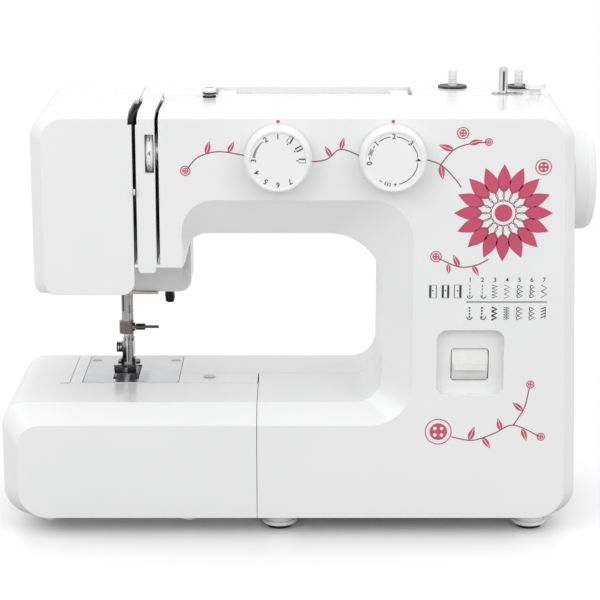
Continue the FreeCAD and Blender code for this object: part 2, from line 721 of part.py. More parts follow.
def rear_cover():
    body = new_body("rear_shell")
    lines = rear_lines(S.head_bottom)

    def corners(crown):
        return [S.radius_arm, S.radius_low, S.radius_high, S.radius_head, S.radius_lobe, None, None,
                crown, S.radius_foot, None, None, S.radius_arm]

    radii, rear_radii = corners(S.radius_right_seam), corners(S.radius_right_rear)
    end = inset(lines, rear_radii, S.rear_inset, fixed=(6,))
    loft(body, [(S.seam_depth, (lines, radii)), (rear_start, (lines, rear_radii)), (rear, end)])
    opened = (6,)
    short = rear_lines(S.slot_bottom)
    short_radii = radii[:4] + [None] + radii[5:]
    lip = S.seam_depth + S.wall
    short_in = inset(short, short_radii, S.wall, opened)
    full_in = inset(lines, radii, S.wall, opened)
    rear_in = inset(lines, rear_radii, S.wall, opened)
    end_in = inset(lines, rear_radii, S.rear_inset + S.wall / 2, opened)
    loft(body, [(S.seam_depth - S.open_cut, short_in), (lip, short_in)], True)
    loft(body, [(lip, full_in), (rear_start, rear_in), (inner_rear, end_in)], True)
    seam = S.face_seam + S.seam_gap
    # Handle tub in the crown.
    tub_floor = S.top_height - S.handle_depth
    tub = box(S.handle_left - 2 * S.wall, S.handle_right + 2 * S.wall, S.seam_depth,
              S.handle_pivot + 4 * S.wall, tub_floor - S.wall, S.top_height - S.wall / 2)
    # Walls of the corner that the presser lifter swings in.
    notch_front = S.plate_back + S.wall * 1.6
    notch_top = S.lifter_height + S.lifter_radius * 1.8
    wall_low = S.head_bottom + S.wall / 2
    back_wall = box(seam, S.head_right - S.wall / 2, notch_front - S.wall, notch_front, wall_low,
                    notch_top + S.wall)
    ceiling = box(seam, S.head_right - S.wall / 2, notch_front - S.wall, inner_rear + S.wall / 2, notch_top,
                  notch_top + S.wall)
    side_wall = box(seam, seam + S.wall, notch_front - S.wall, inner_rear + S.wall / 2,
                    S.head_bottom + S.rear_inset + S.wall, notch_top + S.wall)
    post_top = S.base_height + S.wall
    posts = [rod("Z", (across, S.foot_far), S.base_height / 2, post_top, S.foot_radius)
             for across in (S.foot_left, S.foot_right)]
    guides = [rod("Z", (across, S.spool_depth), S.top_height - 10 * S.wall, S.top_height - S.wall / 2,
                  S.spool_radius * 2) for across in (S.spool_left, S.spool_right)]
    shell = fuse(body, tub, back_wall, ceiling, side_wall, *posts, *guides)
    tub_space = box(S.handle_left - S.wall, S.handle_right + S.wall, S.seam_depth + S.wall,
                    S.handle_pivot + 3 * S.wall, tub_floor, S.top_height + S.wall)
    pins = rod("X", (S.handle_pivot, S.handle_height), S.handle_left - 1.6 * S.wall,
               S.handle_right + 1.6 * S.wall, S.wall)
    notch = box(seam + S.wall, S.head_right + S.wall, notch_front, rear + S.wall,
                S.head_bottom - S.wall, notch_top)
    follower_slot = box(S.lifter_across - S.wall * 1.2, S.lifter_across + S.wall * 1.2, S.plate_front,
                        notch_front + S.wall, S.lifter_height + S.wall, notch_top)
    stud_hole = rod("Y", (S.lifter_across, S.lifter_height), S.plate_front, notch_front + S.wall,
                    S.wall * 1.2 + S.part_gap)
    pin_holes = [rod("Z", (across, S.spool_depth), S.top_height - 12 * S.wall, S.top_height + S.wall,
                     S.spool_radius + S.fit_gap) for across in (S.spool_left, S.spool_right)]
    slot_side = S.spool_radius + S.move_gap
    winder_slot = box(S.winder_across - slot_side, S.winder_across + S.winder_travel + slot_side,
                      S.winder_depth - slot_side, S.winder_depth + slot_side,
                      S.top_height - 2 * S.wall, S.top_height + S.wall)
    shaft_hole = side_shaft_hole()
    plate_hole = box(S.plate_left - S.part_gap, S.plate_right + S.part_gap, S.seam_depth - S.wall,
                     S.plate_far + S.part_gap, S.bed_height - 2 * S.wall, S.bed_height + S.wall)
    side = side_at(S.inlet_height)
    inlet_hole = box(side - 2 * S.wall, side + S.wall, S.inlet_depth - S.inlet_half_width,
                     S.inlet_depth + S.inlet_half_width, S.inlet_height - S.inlet_half_height,
                     S.inlet_height + S.inlet_half_height)
    screws = [rod("Y", spot, inner_rear - 2 * S.wall, rear + S.wall, S.wall * 1.4) for spot in screw_spots()]
    return node("rear_cover", cut(shell, tub_space, pins, notch, follower_slot, stud_hole, *pin_holes,
                                  winder_slot, shaft_hole, plate_hole, inlet_hole, *screws))


def screw_spots():
    # Cover screws in the rear wall, two on the arm and two at the foot of the column.
    high = (S.throat_top + S.top_height) / 2
    low = S.base_height + S.radius_foot
    return [(S.head_right, high), (S.column_right - S.radius_right, high),
            (S.throat_right, low), (S.column_right - S.radius_right, low)]


def face_cover():
    body = new_body("face_shell")
    right = S.face_seam

    def outline(left, crown, bottom):
        return frame_lines(left, right, bottom, crown)

    face = outline(S.head_left + S.side_inset, S.top_height - S.top_inset, S.face_bottom)
    face_radii = [S.radius_left_front, None, S.radius_face_low, S.radius_face_low]
    skirt = outline(S.head_left, S.top_height, S.face_bottom_mid)
    radii, seam_radii, rear_radii = [
        [crown, None, S.radius_face_low, S.radius_face_low]
        for crown in (S.radius_left, S.radius_left_seam, S.radius_left_rear)]
    tail = outline(S.head_left, S.top_height, S.head_bottom)
    end = inset(tail, rear_radii, S.rear_inset, fixed=(2,))
    loft(body, [(front, (face, face_radii)), (mid, (skirt, radii)), (S.seam_depth, (tail, seam_radii)),
                (rear_start, (tail, rear_radii)), (rear, end)])
    opened = (2, 3)

    def hollow(lines, corner_radii, amount):
        moved, corners = inset(lines, corner_radii, amount, opened)
        return moved, [corners[0], None, None, S.radius_face_low / 4]

    loft(body, [(front + S.wall, hollow(face, face_radii, S.wall)),
                (mid + S.wall, hollow(skirt, radii, S.wall)),
                (S.seam_depth, hollow(tail, seam_radii, S.wall)),
                (rear_start, hollow(tail, rear_radii, S.wall)),
                (inner_rear, hollow(tail, rear_radii, S.rear_inset + S.wall / 2))], True)
    lever_opening = box(S.face_seam - S.wall, S.face_seam + S.wall, front - S.open_cut,
                        S.lever_opening_back, S.lever_opening_bottom, S.top_height + S.wall)
    return node("face_cover", cut(body, lever_opening))


def extension_table():
    body = new_body("table_shell")
    right = S.table_seam
    face = frame_lines(S.table_inset - S.half_width, right, S.base_height + S.base_inset,
                       S.bed_height - S.bed_flare)
    skirt = frame_lines(-S.half_width, right, S.base_height, S.bed_height)
    radii = [S.table_radius, None, None, S.table_radius_low]
    end = inset(skirt, radii, S.rear_inset, fixed=(2,))
    loft(body, [(front, (face, radii)), (mid, (skirt, radii)), (rear_start, (skirt, radii)), (rear, end)])
    back = S.arm_front - S.part_gap
    loft(body, [(front + S.wall, inset(face, radii, S.wall)), (mid + S.wall, inset(skirt, radii, S.wall)),
                (back - S.wall, inset(skirt, radii, S.wall))], True)
    side = frame_lines(-S.half_width, S.arm_left - S.part_gap, S.base_height, S.bed_height)
    loft(body, [(back - 2 * S.wall, inset(side, radii, S.wall)), (rear_start, inset(side, radii, S.wall)),
                (inner_rear, inset(side, radii, S.rear_inset + S.wall / 2, fixed=(2,)))], True)
    arm_space = box(S.arm_left - S.part_gap, right + S.wall, back, rear + S.wall,
                    S.base_height - S.wall, S.bed_height + S.wall)
    tray_mouth = prism("tray_mouth", "XZ_Plane", back - 2 * S.wall, back + S.wall, frame_lines(
        S.arm_left + 6 * S.wall, right - 6 * S.wall, S.base_height + 6 * S.wall, S.bed_height - 6 * S.wall),
        [S.radius_arm] * 4)
    nubs = [rod("Z", (across, front + 2 * S.bevel_depth), S.base_height - S.wall, S.base_height + S.wall / 2,
                2 * S.wall) for across in (S.arm_left, S.head_right)]
    return node("extension_table", fuse(cut(body, arm_space, tray_mouth), *nubs))


def free_arm_cover():
    body = new_body("free_arm_shell")
    lines = frame_lines(S.arm_left, S.table_seam - S.seam_gap, S.arm_bottom, S.bed_height)
    radii = [S.radius_arm, None, None, S.radius_arm]
    back = S.seam_depth - S.seam_gap
    bevel = S.arm_front + S.wall
    loft(body, [(S.arm_front, inset(lines, radii, S.wall / 2, fixed=(2,))), (bevel, (lines, radii)),
                (back, (lines, radii))])
    hollow = inset(lines, radii, S.wall, (2,))
    loft(body, [(bevel, hollow), (back + S.open_cut, hollow)], True)
    ledge = box(S.plate_left - S.wall, S.plate_right + S.wall, S.arm_front + S.wall / 2,
                S.plate_near + 2 * S.wall, S.bed_height - 3 * S.wall, S.bed_height - S.plate_thick)
    plate_hole = box(S.plate_left - S.part_gap, S.plate_right + S.part_gap, S.plate_near - S.part_gap,
                     S.seam_depth + S.wall, S.bed_height - S.plate_thick, S.bed_height + S.wall)
    feed_hole = box(S.plate_left + 2 * S.wall, S.plate_right - 2 * S.wall, S.plate_near + 2 * S.wall,
                    S.seam_depth + S.wall, S.bed_height - 4 * S.wall, S.bed_height + S.wall)
    door_hole = prism("door_hole", "XZ_Plane", S.arm_front - S.open_cut, bevel + S.open_cut, door_lines(0),
                      [S.wall] * 4)
    return node("free_arm_cover", cut(fuse(body, ledge), plate_hole, feed_hole, door_hole))


def door_lines(gap):
    half = S.race_radius * 1.6 - gap
    return frame_lines(S.needle_across - half, S.needle_across + half,
                       S.hook_height - S.race_radius + gap, S.hook_height + S.race_radius - gap)


def shuttle_door():
    panel = prism("door_panel", "XZ_Plane", S.arm_front, S.arm_front + S.wall, door_lines(S.part_gap),
                  [S.wall] * 4)
    grip_low = S.hook_height + S.race_radius - 4 * S.wall
    grip = prism("door_grip", "XZ_Plane", S.arm_front - S.open_cut, S.arm_front + S.wall / 2, frame_lines(
        S.needle_across - 4 * S.wall, S.needle_across + 4 * S.wall, grip_low,
        S.hook_height + S.race_radius - 2 * S.wall), [S.wall / 2] * 4)
    return node("shuttle_door", cut(panel, grip))


front_cover()
rear_cover()
face_cover()
extension_table()
free_arm_cover()
shuttle_door()

shaft = (S.shaft_depth, S.shaft_height)
lower = (S.lower_depth, S.lower_height)
needle = (S.needle_across, S.needle_depth)
presser = (S.needle_across, S.presser_depth)
hook = (S.needle_across, S.hook_height)
motor_axis = (S.motor_depth, S.motor_height)
floor_top = S.base_height + S.wall
base_top = floor_top + 1.2 * S.wall
lug_low = S.head_bottom + S.plate_thick
lug_high = lug_low + 4 * S.wall
bush_radius = S.shaft_radius + S.bush_wall
lower_bush = S.shaft_radius + S.bush_wall
presser_bush = S.presser_radius + S.thin_bush_wall
hook_shaft = S.dial_spindle
lug_side = presser_bush + S.wall * 0.4
left_bearing = (S.head_right - 4 * S.wall, S.head_right)
right_bearing = (S.column_right - 18 * S.wall, S.column_right - 13 * S.wall)
low_left_bearing = (S.table_seam - 12 * S.wall, S.table_seam - 8 * S.wall)
low_right_bearing = (S.column_right - 31 * S.wall, S.column_right - 27 * S.wall)
timing_span = (S.column_right - 23 * S.wall, S.column_right - 20 * S.wall)
drive_span = (S.column_right - 10 * S.wall, S.column_right - 6 * S.wall)


def base_plate():
    floor = prism("base_floor", "XY_Plane", floor_top, base_top, frame_lines(
        S.table_seam + 3 * S.wall, S.foot_right + 2 * S.wall, front + 2 * S.bevel_depth - 3 * S.wall,
        rear_start - S.wall), [S.radius_arm] * 4)
    half = 0.8 * S.motor_radius
    cradle = box(S.motor_left + S.wall, S.motor_right - S.wall, S.motor_depth - half, S.motor_depth + half,
                 base_top - S.wall / 2, S.motor_height - S.motor_radius / 2)
    hollow = rod("X", motor_axis, S.motor_left - S.wall, S.motor_right + S.wall, S.motor_radius + S.fit_gap)
    return node("base_plate", cut(fuse(floor, cradle), hollow))


def machine_frame():
    near, far = S.plate_front, S.plate_back
    right = right_bearing[1]
    head_left = S.needle_across - 3 * S.wall
    arm_low, arm_high = S.throat_top + 4 * S.wall, S.shaft_height + 14 * S.wall
    column_left = S.throat_right + 7 * S.wall
    profile = [
        ("V", S.arm_left + S.frame_margin), ("H", S.hook_height + S.frame_margin), ("V", column_left),
        ("H", arm_low), ("V", S.head_right - 2 * S.wall), ("H", lug_low + 2 * S.wall), ("V", head_left),
        ("H", arm_high), ("V", right), ("H", base_top), ("V", column_left + S.frame_margin),
        ("H", S.arm_bottom + 2 * S.wall),
    ]
    sharp = (8, 9)
    rounds = [None if corner in sharp else S.frame_radius for corner in range(len(profile))]
    pieces = [
        prism("frame_casting", "XZ_Plane", near, far, profile, rounds),
        # Bearing arms for the upper and the lower shaft.
        box(*left_bearing, S.take_up_depth - 3 * S.wall, near + S.wall, S.shaft_height - 5 * S.wall,
            S.take_up_height + 3 * S.wall),
        box(*right_bearing, S.shaft_depth - 5 * S.wall, near + S.wall, S.shaft_height - 5 * S.wall,
            S.shaft_height + 5 * S.wall),
        box(*low_left_bearing, S.lower_depth - 5 * S.wall, near + S.wall, S.lower_height - 5 * S.wall,
            S.lower_height + 4 * S.wall),
        box(*low_right_bearing, S.lower_depth - 5 * S.wall, near + S.wall, S.lower_height - 5 * S.wall,
            S.lower_height + 5 * S.wall),
        # Lugs for the presser bar and the hook shaft.
        box(S.needle_across - lug_side, S.needle_across + lug_side, S.presser_depth - lug_side - S.wall / 5,
            near + S.wall, lug_low, lug_high),
        box(S.needle_across - lug_side, S.needle_across + lug_side, S.presser_depth - lug_side - S.wall / 5,
            near + S.wall, S.shaft_height, S.shaft_height + 4 * S.wall),
        box(S.needle_across - 4 * S.wall, S.needle_across + 4 * S.wall, S.needle_depth + 2 * S.wall,
            near + S.wall, S.hook_height - 4 * S.wall, S.hook_height + 4 * S.wall),
        # Arm that carries the tension post.
        box(left_bearing[0], left_bearing[1] - S.wall, S.tension_depth - 2 * S.wall,
            S.take_up_depth - 2 * S.wall, S.take_up_height, S.tension_height + 3 * S.wall),
        # Seats under the rear edge of the needle plate.
        box(S.plate_left, S.plate_left + 5 * S.wall, near, S.plate_far - S.wall, S.hook_height + 3 * S.wall,
            S.bed_height - S.plate_thick),
        box(S.plate_right - 5 * S.wall, S.plate_right, near, S.plate_far - S.wall, S.hook_height + 3 * S.wall,
            S.bed_height - S.plate_thick),
        # Foot flange on the base plate.
        box(column_left + S.frame_margin, right, near - 3 * S.wall, far + 3 * S.wall, base_top,
            base_top + 2 * S.wall),
        # Studs for the swinging needle bar bracket, the lifter and the take up lever.
        rod("Y", (S.needle_across, swing_height()), S.needle_depth + S.needle_bar_radius + S.wall * 0.6,
            near + S.wall, S.wall),
        rod("Y", (S.lifter_across, S.lifter_height), near, lifter_span()[1] + S.wall, S.wall * 1.2),
        rod("X", (S.take_up_depth, S.take_up_height), S.face_seam - S.wall * 0.6,
            left_bearing[0] + S.wall, S.take_up_hub / 2),
        # Holder for the lamp.
        box(head_left - 9 * S.wall, head_left + S.wall, near, far, S.shaft_height - 8 * S.wall,
            S.shaft_height),
    ]
    body = fuse(*pieces)
    lamp_hole = rod("Z", (head_left - 5 * S.wall, (near + far) / 2), S.shaft_height - 9 * S.wall,
                    S.shaft_height + S.wall, S.wall / 2)
    holes = [
        rod("X", shaft, left_bearing[0] - S.wall, right_bearing[1] + S.wall, bush_radius),
        rod("X", lower, low_left_bearing[0] - S.wall, low_right_bearing[1] + S.wall, lower_bush),
        rod("Z", presser, lug_low - S.wall, S.shaft_height + 5 * S.wall, presser_bush),
        rod("Y", hook, S.needle_depth, far + S.wall, hook_shaft + S.bush_wall),
        box(S.lifter_across - S.wall * 1.2, S.lifter_across + S.wall * 1.2, near - S.wall, far + S.wall,
            S.lifter_height + 1.4 * S.wall, S.lifter_height + 10 * S.wall),
        lamp_hole,
    ]
    weight_holes = [rod("Y", ((S.throat_right + right) / 2, S.bed_height + 16 * S.wall * step),
                        near - S.wall, far + S.wall, 6 * S.wall) for step in (0, 1, 2)]
    arm_holes = [rod("Y", (S.throat_right - 16 * S.wall * step, S.shaft_height + 3 * S.wall),
                     near - S.wall, far + S.wall, 4 * S.wall) for step in (0, 1, 2)]
    return node("machine_frame", cut(body, *holes, *weight_holes, *arm_holes))


def swing_height():
    return S.shaft_height + 13 * S.wall


def lifter_span():
    start = S.plate_back + S.wall * 1.6 + S.move_gap
    return start, start + S.lifter_thick


def bushes():
    def bush(axis, pair, start, end, bore, wall):
        return cut(rod(axis, pair, start, end, bore + wall - S.fit_gap),
                   rod(axis, pair, dim(start) - S.wall, dim(end) + S.wall, bore + S.fit_gap))

    rings = [bush("X", shaft, *span, S.shaft_radius, S.bush_wall) for span in (left_bearing, right_bearing)]
    rings += [bush("X", lower, *span, S.shaft_radius, S.bush_wall)
              for span in (low_left_bearing, low_right_bearing)]
    rings += [bush("Z", presser, start, start + 4 * S.wall, S.presser_radius, S.thin_bush_wall)
              for start in (lug_low, S.shaft_height)]
    rings.append(bush("Y", hook, S.needle_depth + 2 * S.wall, S.plate_back, hook_shaft, S.bush_wall))
    return node("bushes", group(*rings))


def upper_drive():
    knob_end = S.half_width - S.wall * 0.4
    wide = S.wheel_width
    node("upper_shaft", rod("X", shaft, S.face_seam + 4 * S.wall, S.half_width - 2 * S.wall, S.shaft_radius))
    bore = S.shaft_radius + S.fit_gap
    rim = S.wheel_radius
    node("hand_wheel", turned("wheel", "X", (S.wheel_start, *shaft), [
        (0, bore), (0, rim * 0.55), (S.wall, rim * 0.6), (S.wall * 0.6, rim * 0.9), (S.wall * 1.2, rim),
        (wide * 0.68, rim), (wide * 0.9, rim * 0.94), (wide, rim * 0.82), (wide - S.wall * 0.4, rim * 0.5),
        (wide - 2 * S.wall, rim * 0.48), (wide - 2 * S.wall, bore)]))
    knob_start = S.half_width - 2 * S.wall + S.part_gap / 4
    node("clutch_knob", turned("knob", "X", (knob_start, *shaft), [
        (0, 0), (0, S.knob_radius), (S.wall * 1.2, S.knob_radius - S.part_gap),
        (knob_end - knob_start, S.knob_radius - S.wall), (knob_end - knob_start, 0)]))
    pulley = cut(fuse(
        rod("X", shaft, *drive_span, S.drive_radius),
        rod("X", shaft, drive_span[0] - S.flange_thick, drive_span[0], S.drive_radius + S.flange_rise),
        rod("X", shaft, drive_span[1], drive_span[1] + S.flange_thick, S.drive_radius + S.flange_rise)),
        rod("X", shaft, drive_span[0] - S.wall, drive_span[1] + S.wall, bore))
    timing = cut(rod("X", shaft, timing_span[0], timing_span[1], S.timing_radius),
                 rod("X", shaft, timing_span[0] - S.wall, timing_span[1] + S.wall, bore))
    node("shaft_pulleys", group(pulley, timing))
    disc_end = S.face_seam + 4 * S.wall
    lean = math.radians(S.crank_angle.value)
    pin = (S.shaft_depth + S.crank_throw * math.sin(lean), S.shaft_height + S.crank_throw * math.cos(lean))
    weight = cut(rod("X", shaft, disc_end, disc_end + 3 * S.wall, S.crank_throw * 1.4),
                 rod("X", shaft, disc_end - S.wall, disc_end + 4 * S.wall, bore))
    stub = rod("X", pin, S.face_seam - S.wall * 0.4, disc_end + S.wall, S.wall)
    node("crank", fuse(weight, stub))
    return pin


def belts():
    def belt(name, span, first, first_radius, last, last_radius):
        gap = S.belt_gap
        outer = strap(name, span[0] + gap, span[1] - gap, first, first_radius + gap + S.belt_thick,
                      last, last_radius + gap + S.belt_thick)
        inner = strap(name + "_space", span[0] - S.wall, span[1] + S.wall, first, first_radius + gap,
                      last, last_radius + gap)
        return cut(outer, inner)

    node("motor_belt", belt("motor_loop", drive_span, motor_axis, S.motor_pulley_radius, shaft,
                            S.drive_radius))
    node("timing_belt", belt("timing_loop", timing_span, lower, S.timing_radius, shaft, S.timing_radius))


def motor():
    left, right = S.motor_left, S.motor_right
    can = turned("motor_can", "X", (left, *motor_axis), [
        (0, S.shaft_radius), (0, S.motor_radius * 0.7), (S.wall * 2, S.motor_radius * 0.9),
        (S.wall * 2, S.motor_radius), (right - left - S.wall * 2, S.motor_radius),
        (right - left - S.wall * 2, S.motor_radius * 0.9), (right - left, S.motor_radius * 0.7),
        (right - left, S.shaft_radius)])
    node("motor", can)
    bore = S.shaft_radius - S.fit_gap
    axle = rod("X", motor_axis, left + S.wall, drive_span[1] + S.wall, bore)
    groove = fuse(axle, rod("X", motor_axis, *drive_span, S.motor_pulley_radius),
                  rod("X", motor_axis, drive_span[0] - S.flange_thick, drive_span[0],
                      S.motor_pulley_radius + S.flange_rise),
                  rod("X", motor_axis, drive_span[1], drive_span[1] + S.flange_thick,
                      S.motor_pulley_radius + S.flange_rise))
    node("motor_pulley", groove)


def lower_drive():
    bore = S.shaft_radius
    start, end = S.head_right - 5 * S.wall, timing_span[1] + 2 * S.wall
    disc = rod("X", lower, start, start + 2 * S.wall, S.timing_radius * 0.9)
    pulley = rod("X", lower, *timing_span, S.timing_radius)
    pin = rod("X", (S.lower_depth, S.lower_height + S.timing_radius * 0.6), start - 2 * S.wall,
              start + S.wall, S.wall)
    node("lower_shaft", fuse(rod("X", lower, start, end, bore), disc, pulley, pin))


def hook_group():
    face = S.arm_front + 2 * S.wall
    race_front, race_back = face + S.wall * 1.2, S.needle_depth - S.wall * 0.6
    hook_front, hook_back = face + S.wall * 2, S.needle_depth - S.wall
    radius = S.hook_radius
    ring = cut(rod("Y", hook, race_front, race_back, S.race_radius),
               rod("Y", hook, race_front - S.wall, race_back + S.wall, radius + S.part_gap))
    ears = [box(across - 2 * S.wall, across + S.wall, race_back - 2 * S.wall, S.plate_front,
                S.hook_height - 2 * S.wall, S.hook_height + 2 * S.wall)
            for across in (S.needle_across - S.race_radius, S.needle_across + S.race_radius + S.wall)]
    lip = cut(rod("Y", hook, race_front - S.wall * 0.4, race_front, S.race_radius),
              rod("Y", hook, race_front - S.wall, race_back, radius - S.wall))
    core = rod("Y", hook, race_front, race_back + 4 * S.wall, radius + S.part_gap)
    node("shuttle_race", fuse(ring, lip, *[cut(ear, core) for ear in ears]))
    cup = cut(rod("Y", hook, hook_front, hook_back, radius),
              rod("Y", hook, hook_front - S.wall, hook_back - S.wall, radius - 1.6 * S.wall),
              box(S.needle_across, S.needle_across + radius * 1.2, hook_front - S.wall, hook_back + S.wall,
                  S.hook_height + S.wall * 2, S.hook_height + radius * 1.2))
    drive = rod("Y", hook, hook_back - S.wall, S.plate_back + 3 * S.wall, hook_shaft)
    driver = rod("Y", hook, hook_back - S.wall, S.needle_depth + S.wall, hook_shaft * 2)
    crank = box(S.needle_across - S.wall, S.needle_across + S.wall, S.plate_back + 2 * S.wall - S.wall,
                S.plate_back + 3 * S.wall, S.hook_height, S.hook_height + 6 * S.wall)
    node("shuttle_hook", fuse(cup, drive, driver, crank))
    case = radius - 1.6 * S.wall - S.part_gap
    shell = cut(rod("Y", hook, face + S.wall * 0.8, hook_back - S.wall - S.part_gap, case),
                rod("Y", hook, face + S.wall * 1.2, hook_back, case - S.wall * 0.4))
    post = rod("Y", hook, face + S.wall, hook_back - 2 * S.wall, S.wall)
    latch = box(S.needle_across - 2 * S.wall, S.needle_across + 3 * S.wall, face + S.wall * 0.4,
                face + S.wall * 0.8 + S.fit_gap, S.hook_height - 1.2 * S.wall, S.hook_height + 1.2 * S.wall)
    node("bobbin_case", fuse(shell, post, latch))
    flange = case - S.wall * 0.4 - S.part_gap
    first, last = face + S.wall * 1.2 + S.part_gap, hook_back - 2 * S.wall
    node("bobbin", turned("spool", "Y", (S.needle_across, first, S.hook_height), [
        (0, S.wall + S.part_gap), (0, flange), (S.wall * 0.4, flange), (S.wall * 0.4, flange * 0.45),
        (last - first - S.wall * 0.4, flange * 0.45), (last - first - S.wall * 0.4, flange),
        (last - first, flange), (last - first, S.wall + S.part_gap)]))


def needle_plate():
    x, y = S.needle_across, S.needle_depth
    low, high = S.bed_height - S.plate_thick, S.bed_height
    sheet_metal = prism("plate_blank", "XY_Plane", low, high, frame_lines(
        S.plate_left, S.plate_right, S.plate_near, S.plate_far), [S.wall] * 4)

    def opening(left, right, near, far):
        return box(left, right, near, far, low - S.wall, high + S.wall)

    rows = [opening(left - S.move_gap, right + S.move_gap, feed_near() - 2 * S.wall, feed_far() + 2 * S.wall)
            for left, right in feed_rows()]
    slit = opening(x - 1.6 * S.wall, x + 1.6 * S.wall, y - S.wall * 0.5, y + S.wall * 0.5)
    holes = [rod("Z", spot, low - S.wall, high + S.wall, S.wall * 1.3) for spot in plate_screw_spots()]
    node("needle_plate", cut(sheet_metal, *rows, slit, *holes))


def plate_screw_spots():
    return [(across, S.plate_far - 4 * S.wall)
            for across in (S.plate_right - 2 * S.wall, S.plate_left + 2 * S.wall)]


def feed_rows():
    x = S.needle_across
    inner, outer = 1.5 * S.wall, 3.3 * S.wall
    return [(x - outer, x - inner), (x + inner, x + outer)]


def feed_near():
    return S.needle_depth - 4.4 * S.wall


def feed_far():
    return S.needle_depth + 6 * S.wall


def feed_group():
    low = S.bed_height - S.plate_thick - 2.4 * S.wall
    high = S.bed_height - S.plate_thick - S.wall
    span = feed_rows()
    bridge = box(span[0][0], span[1][1], S.needle_depth + 2 * S.wall, feed_far(), low, high)
    strips = [box(left, right, feed_near(), feed_far(), low, S.bed_height) for left, right in span]
    pitch = (feed_far() - feed_near()) / 12
    teeth = [box(left, right, feed_near() + pitch * step, feed_near() + pitch * (step + 0.5),
                 S.bed_height - S.wall / 2, S.bed_height + S.part_gap)
             for left, right in span for step in range(12)]
    arm = box(span[1][1] - S.wall, S.table_seam - 10 * S.wall, S.lower_depth - S.wall,
              S.lower_depth + S.wall, low, high)
    peg_x = S.table_seam - 11 * S.wall
    peg = rod("Z", (peg_x, S.lower_depth), low - 4 * S.wall, low + S.wall / 2, S.wall * 0.8)
    node("feed_dog", fuse(bridge, *strips, *teeth, arm, peg))
    rocker_high = low - S.wall
    rocker = box(peg_x - 3 * S.wall, peg_x + 3 * S.wall,
                 S.lower_depth - 3 * S.wall, S.lower_depth + 3 * S.wall,
                 S.lower_height + 4 * S.wall + S.part_gap, rocker_high)
    peg_hole = rod("Z", (peg_x, S.lower_depth), low - 12 * S.wall, low, S.wall * 0.8 + S.fit_gap)
    node("feed_rocker", cut(rocker, peg_hole))


def needle_group(pin):
    x, y = needle
    bar = S.needle_bar_radius
    top = swing_height() + 4 * S.wall
    spine_near, spine_far = y + bar + S.part_gap, S.presser_depth - lug_side - S.wall / 5 - S.part_gap
    side = 1.6 * S.wall
    bearing = S.shaft_height + 8 * S.wall
    spine = box(x - 2 * side, x + side, spine_near, spine_far, lug_low + S.part_gap, top)
    lugs = [box(x - 2 * side, x + 1.4 * side, y - side * 1.5, spine_near + S.wall / 2, low, high)
            for low, high in ((lug_low + S.part_gap, lug_high), (bearing, bearing + 3 * S.wall))]
    swing = fuse(spine, *lugs)
    bores = [rod("Z", needle, lug_low - S.wall, top + S.wall, bar + S.fit_gap),
             rod("Y", (x, swing_height()), y, spine_far + S.wall, S.wall + S.fit_gap)]
    node("needle_bar_bracket", cut(swing, *bores))
    node("needle_bar", rod("Z", needle, S.clamp_high, S.top_height - S.needle_bar_drop, bar))
    joint_height = lug_high + 11 * S.wall
    eye = S.wall * 2
    link_near, link_far = S.face_seam - 2.6 * S.wall, S.face_seam - 0.8 * S.wall
    rod_link = strap("link_bar", link_near, link_far, (y, joint_height), eye, pin, eye)
    eye_hole = rod("X", pin, link_near - S.wall, link_far + S.wall, S.wall + S.part_gap)
    collar = box(x - side, link_near + S.wall / 2, y - side * 1.4, y + bar * 0.8,
                 joint_height - 1.5 * S.wall, joint_height + 1.5 * S.wall)
    collar_hole = rod("Z", needle, joint_height - 4 * S.wall, joint_height + 4 * S.wall, bar + S.fit_gap)
    node("needle_bar_link", cut(fuse(cut(rod_link, eye_hole), collar), collar_hole))
    clamp_mid = (S.clamp_low + S.clamp_high) / 2
    body = fuse(rod("Z", needle, S.clamp_low, S.clamp_high, S.clamp_radius),
                rod("X", (y, clamp_mid), x, x + 2.4 * S.wall, S.wall * 1.2))
    shank = rod("Z", needle, S.clamp_low - S.wall, S.clamp_high - S.wall, S.shank_radius + S.fit_gap)
    thread = rod("X", (y, clamp_mid), x, x + 4 * S.wall, S.wall * 0.4 + S.fit_gap)
    node("needle_clamp", cut(body, shank, thread))
    node("clamp_screw", fuse(rod("X", (y, clamp_mid), x + S.wall * 0.6, x + 9 * S.wall, S.wall * 0.4),
                             rod("X", (y, clamp_mid), x + 2.6 * S.wall, x + 5.2 * S.wall, S.wall * 0.9)))
    shoulder, end = S.clamp_low - S.needle_tip - S.wall, S.clamp_high - S.needle_tip - S.wall * 1.2
    node("needle", turned("needle_blank", "Z", (x, y, S.needle_tip), [
        (0, 0), (S.wall * 0.8, S.needle_radius), (shoulder - S.shank_radius, S.needle_radius),
        (shoulder, S.shank_radius), (end, S.shank_radius), (end, 0)]))


def take_up():
    left = S.face_seam + S.slot_width / 2 - S.take_up_thick / 2
    right = left + S.take_up_thick
    y, z = S.take_up_depth, S.take_up_height
    tip = (y - S.take_up_reach + S.wall, z - S.take_up_dip)
    arm = strap("take_up_arm", left, right, (y, z), S.take_up_hub, tip, S.wall)
    eyelet = rod("X", tip, left - S.wall, right + S.wall, S.wall * 0.4)
    bore = rod("X", (y, z), left - S.wall, right + S.wall, S.take_up_hub / 2 + S.fit_gap)
    node("take_up_lever", cut(arm, eyelet, bore))


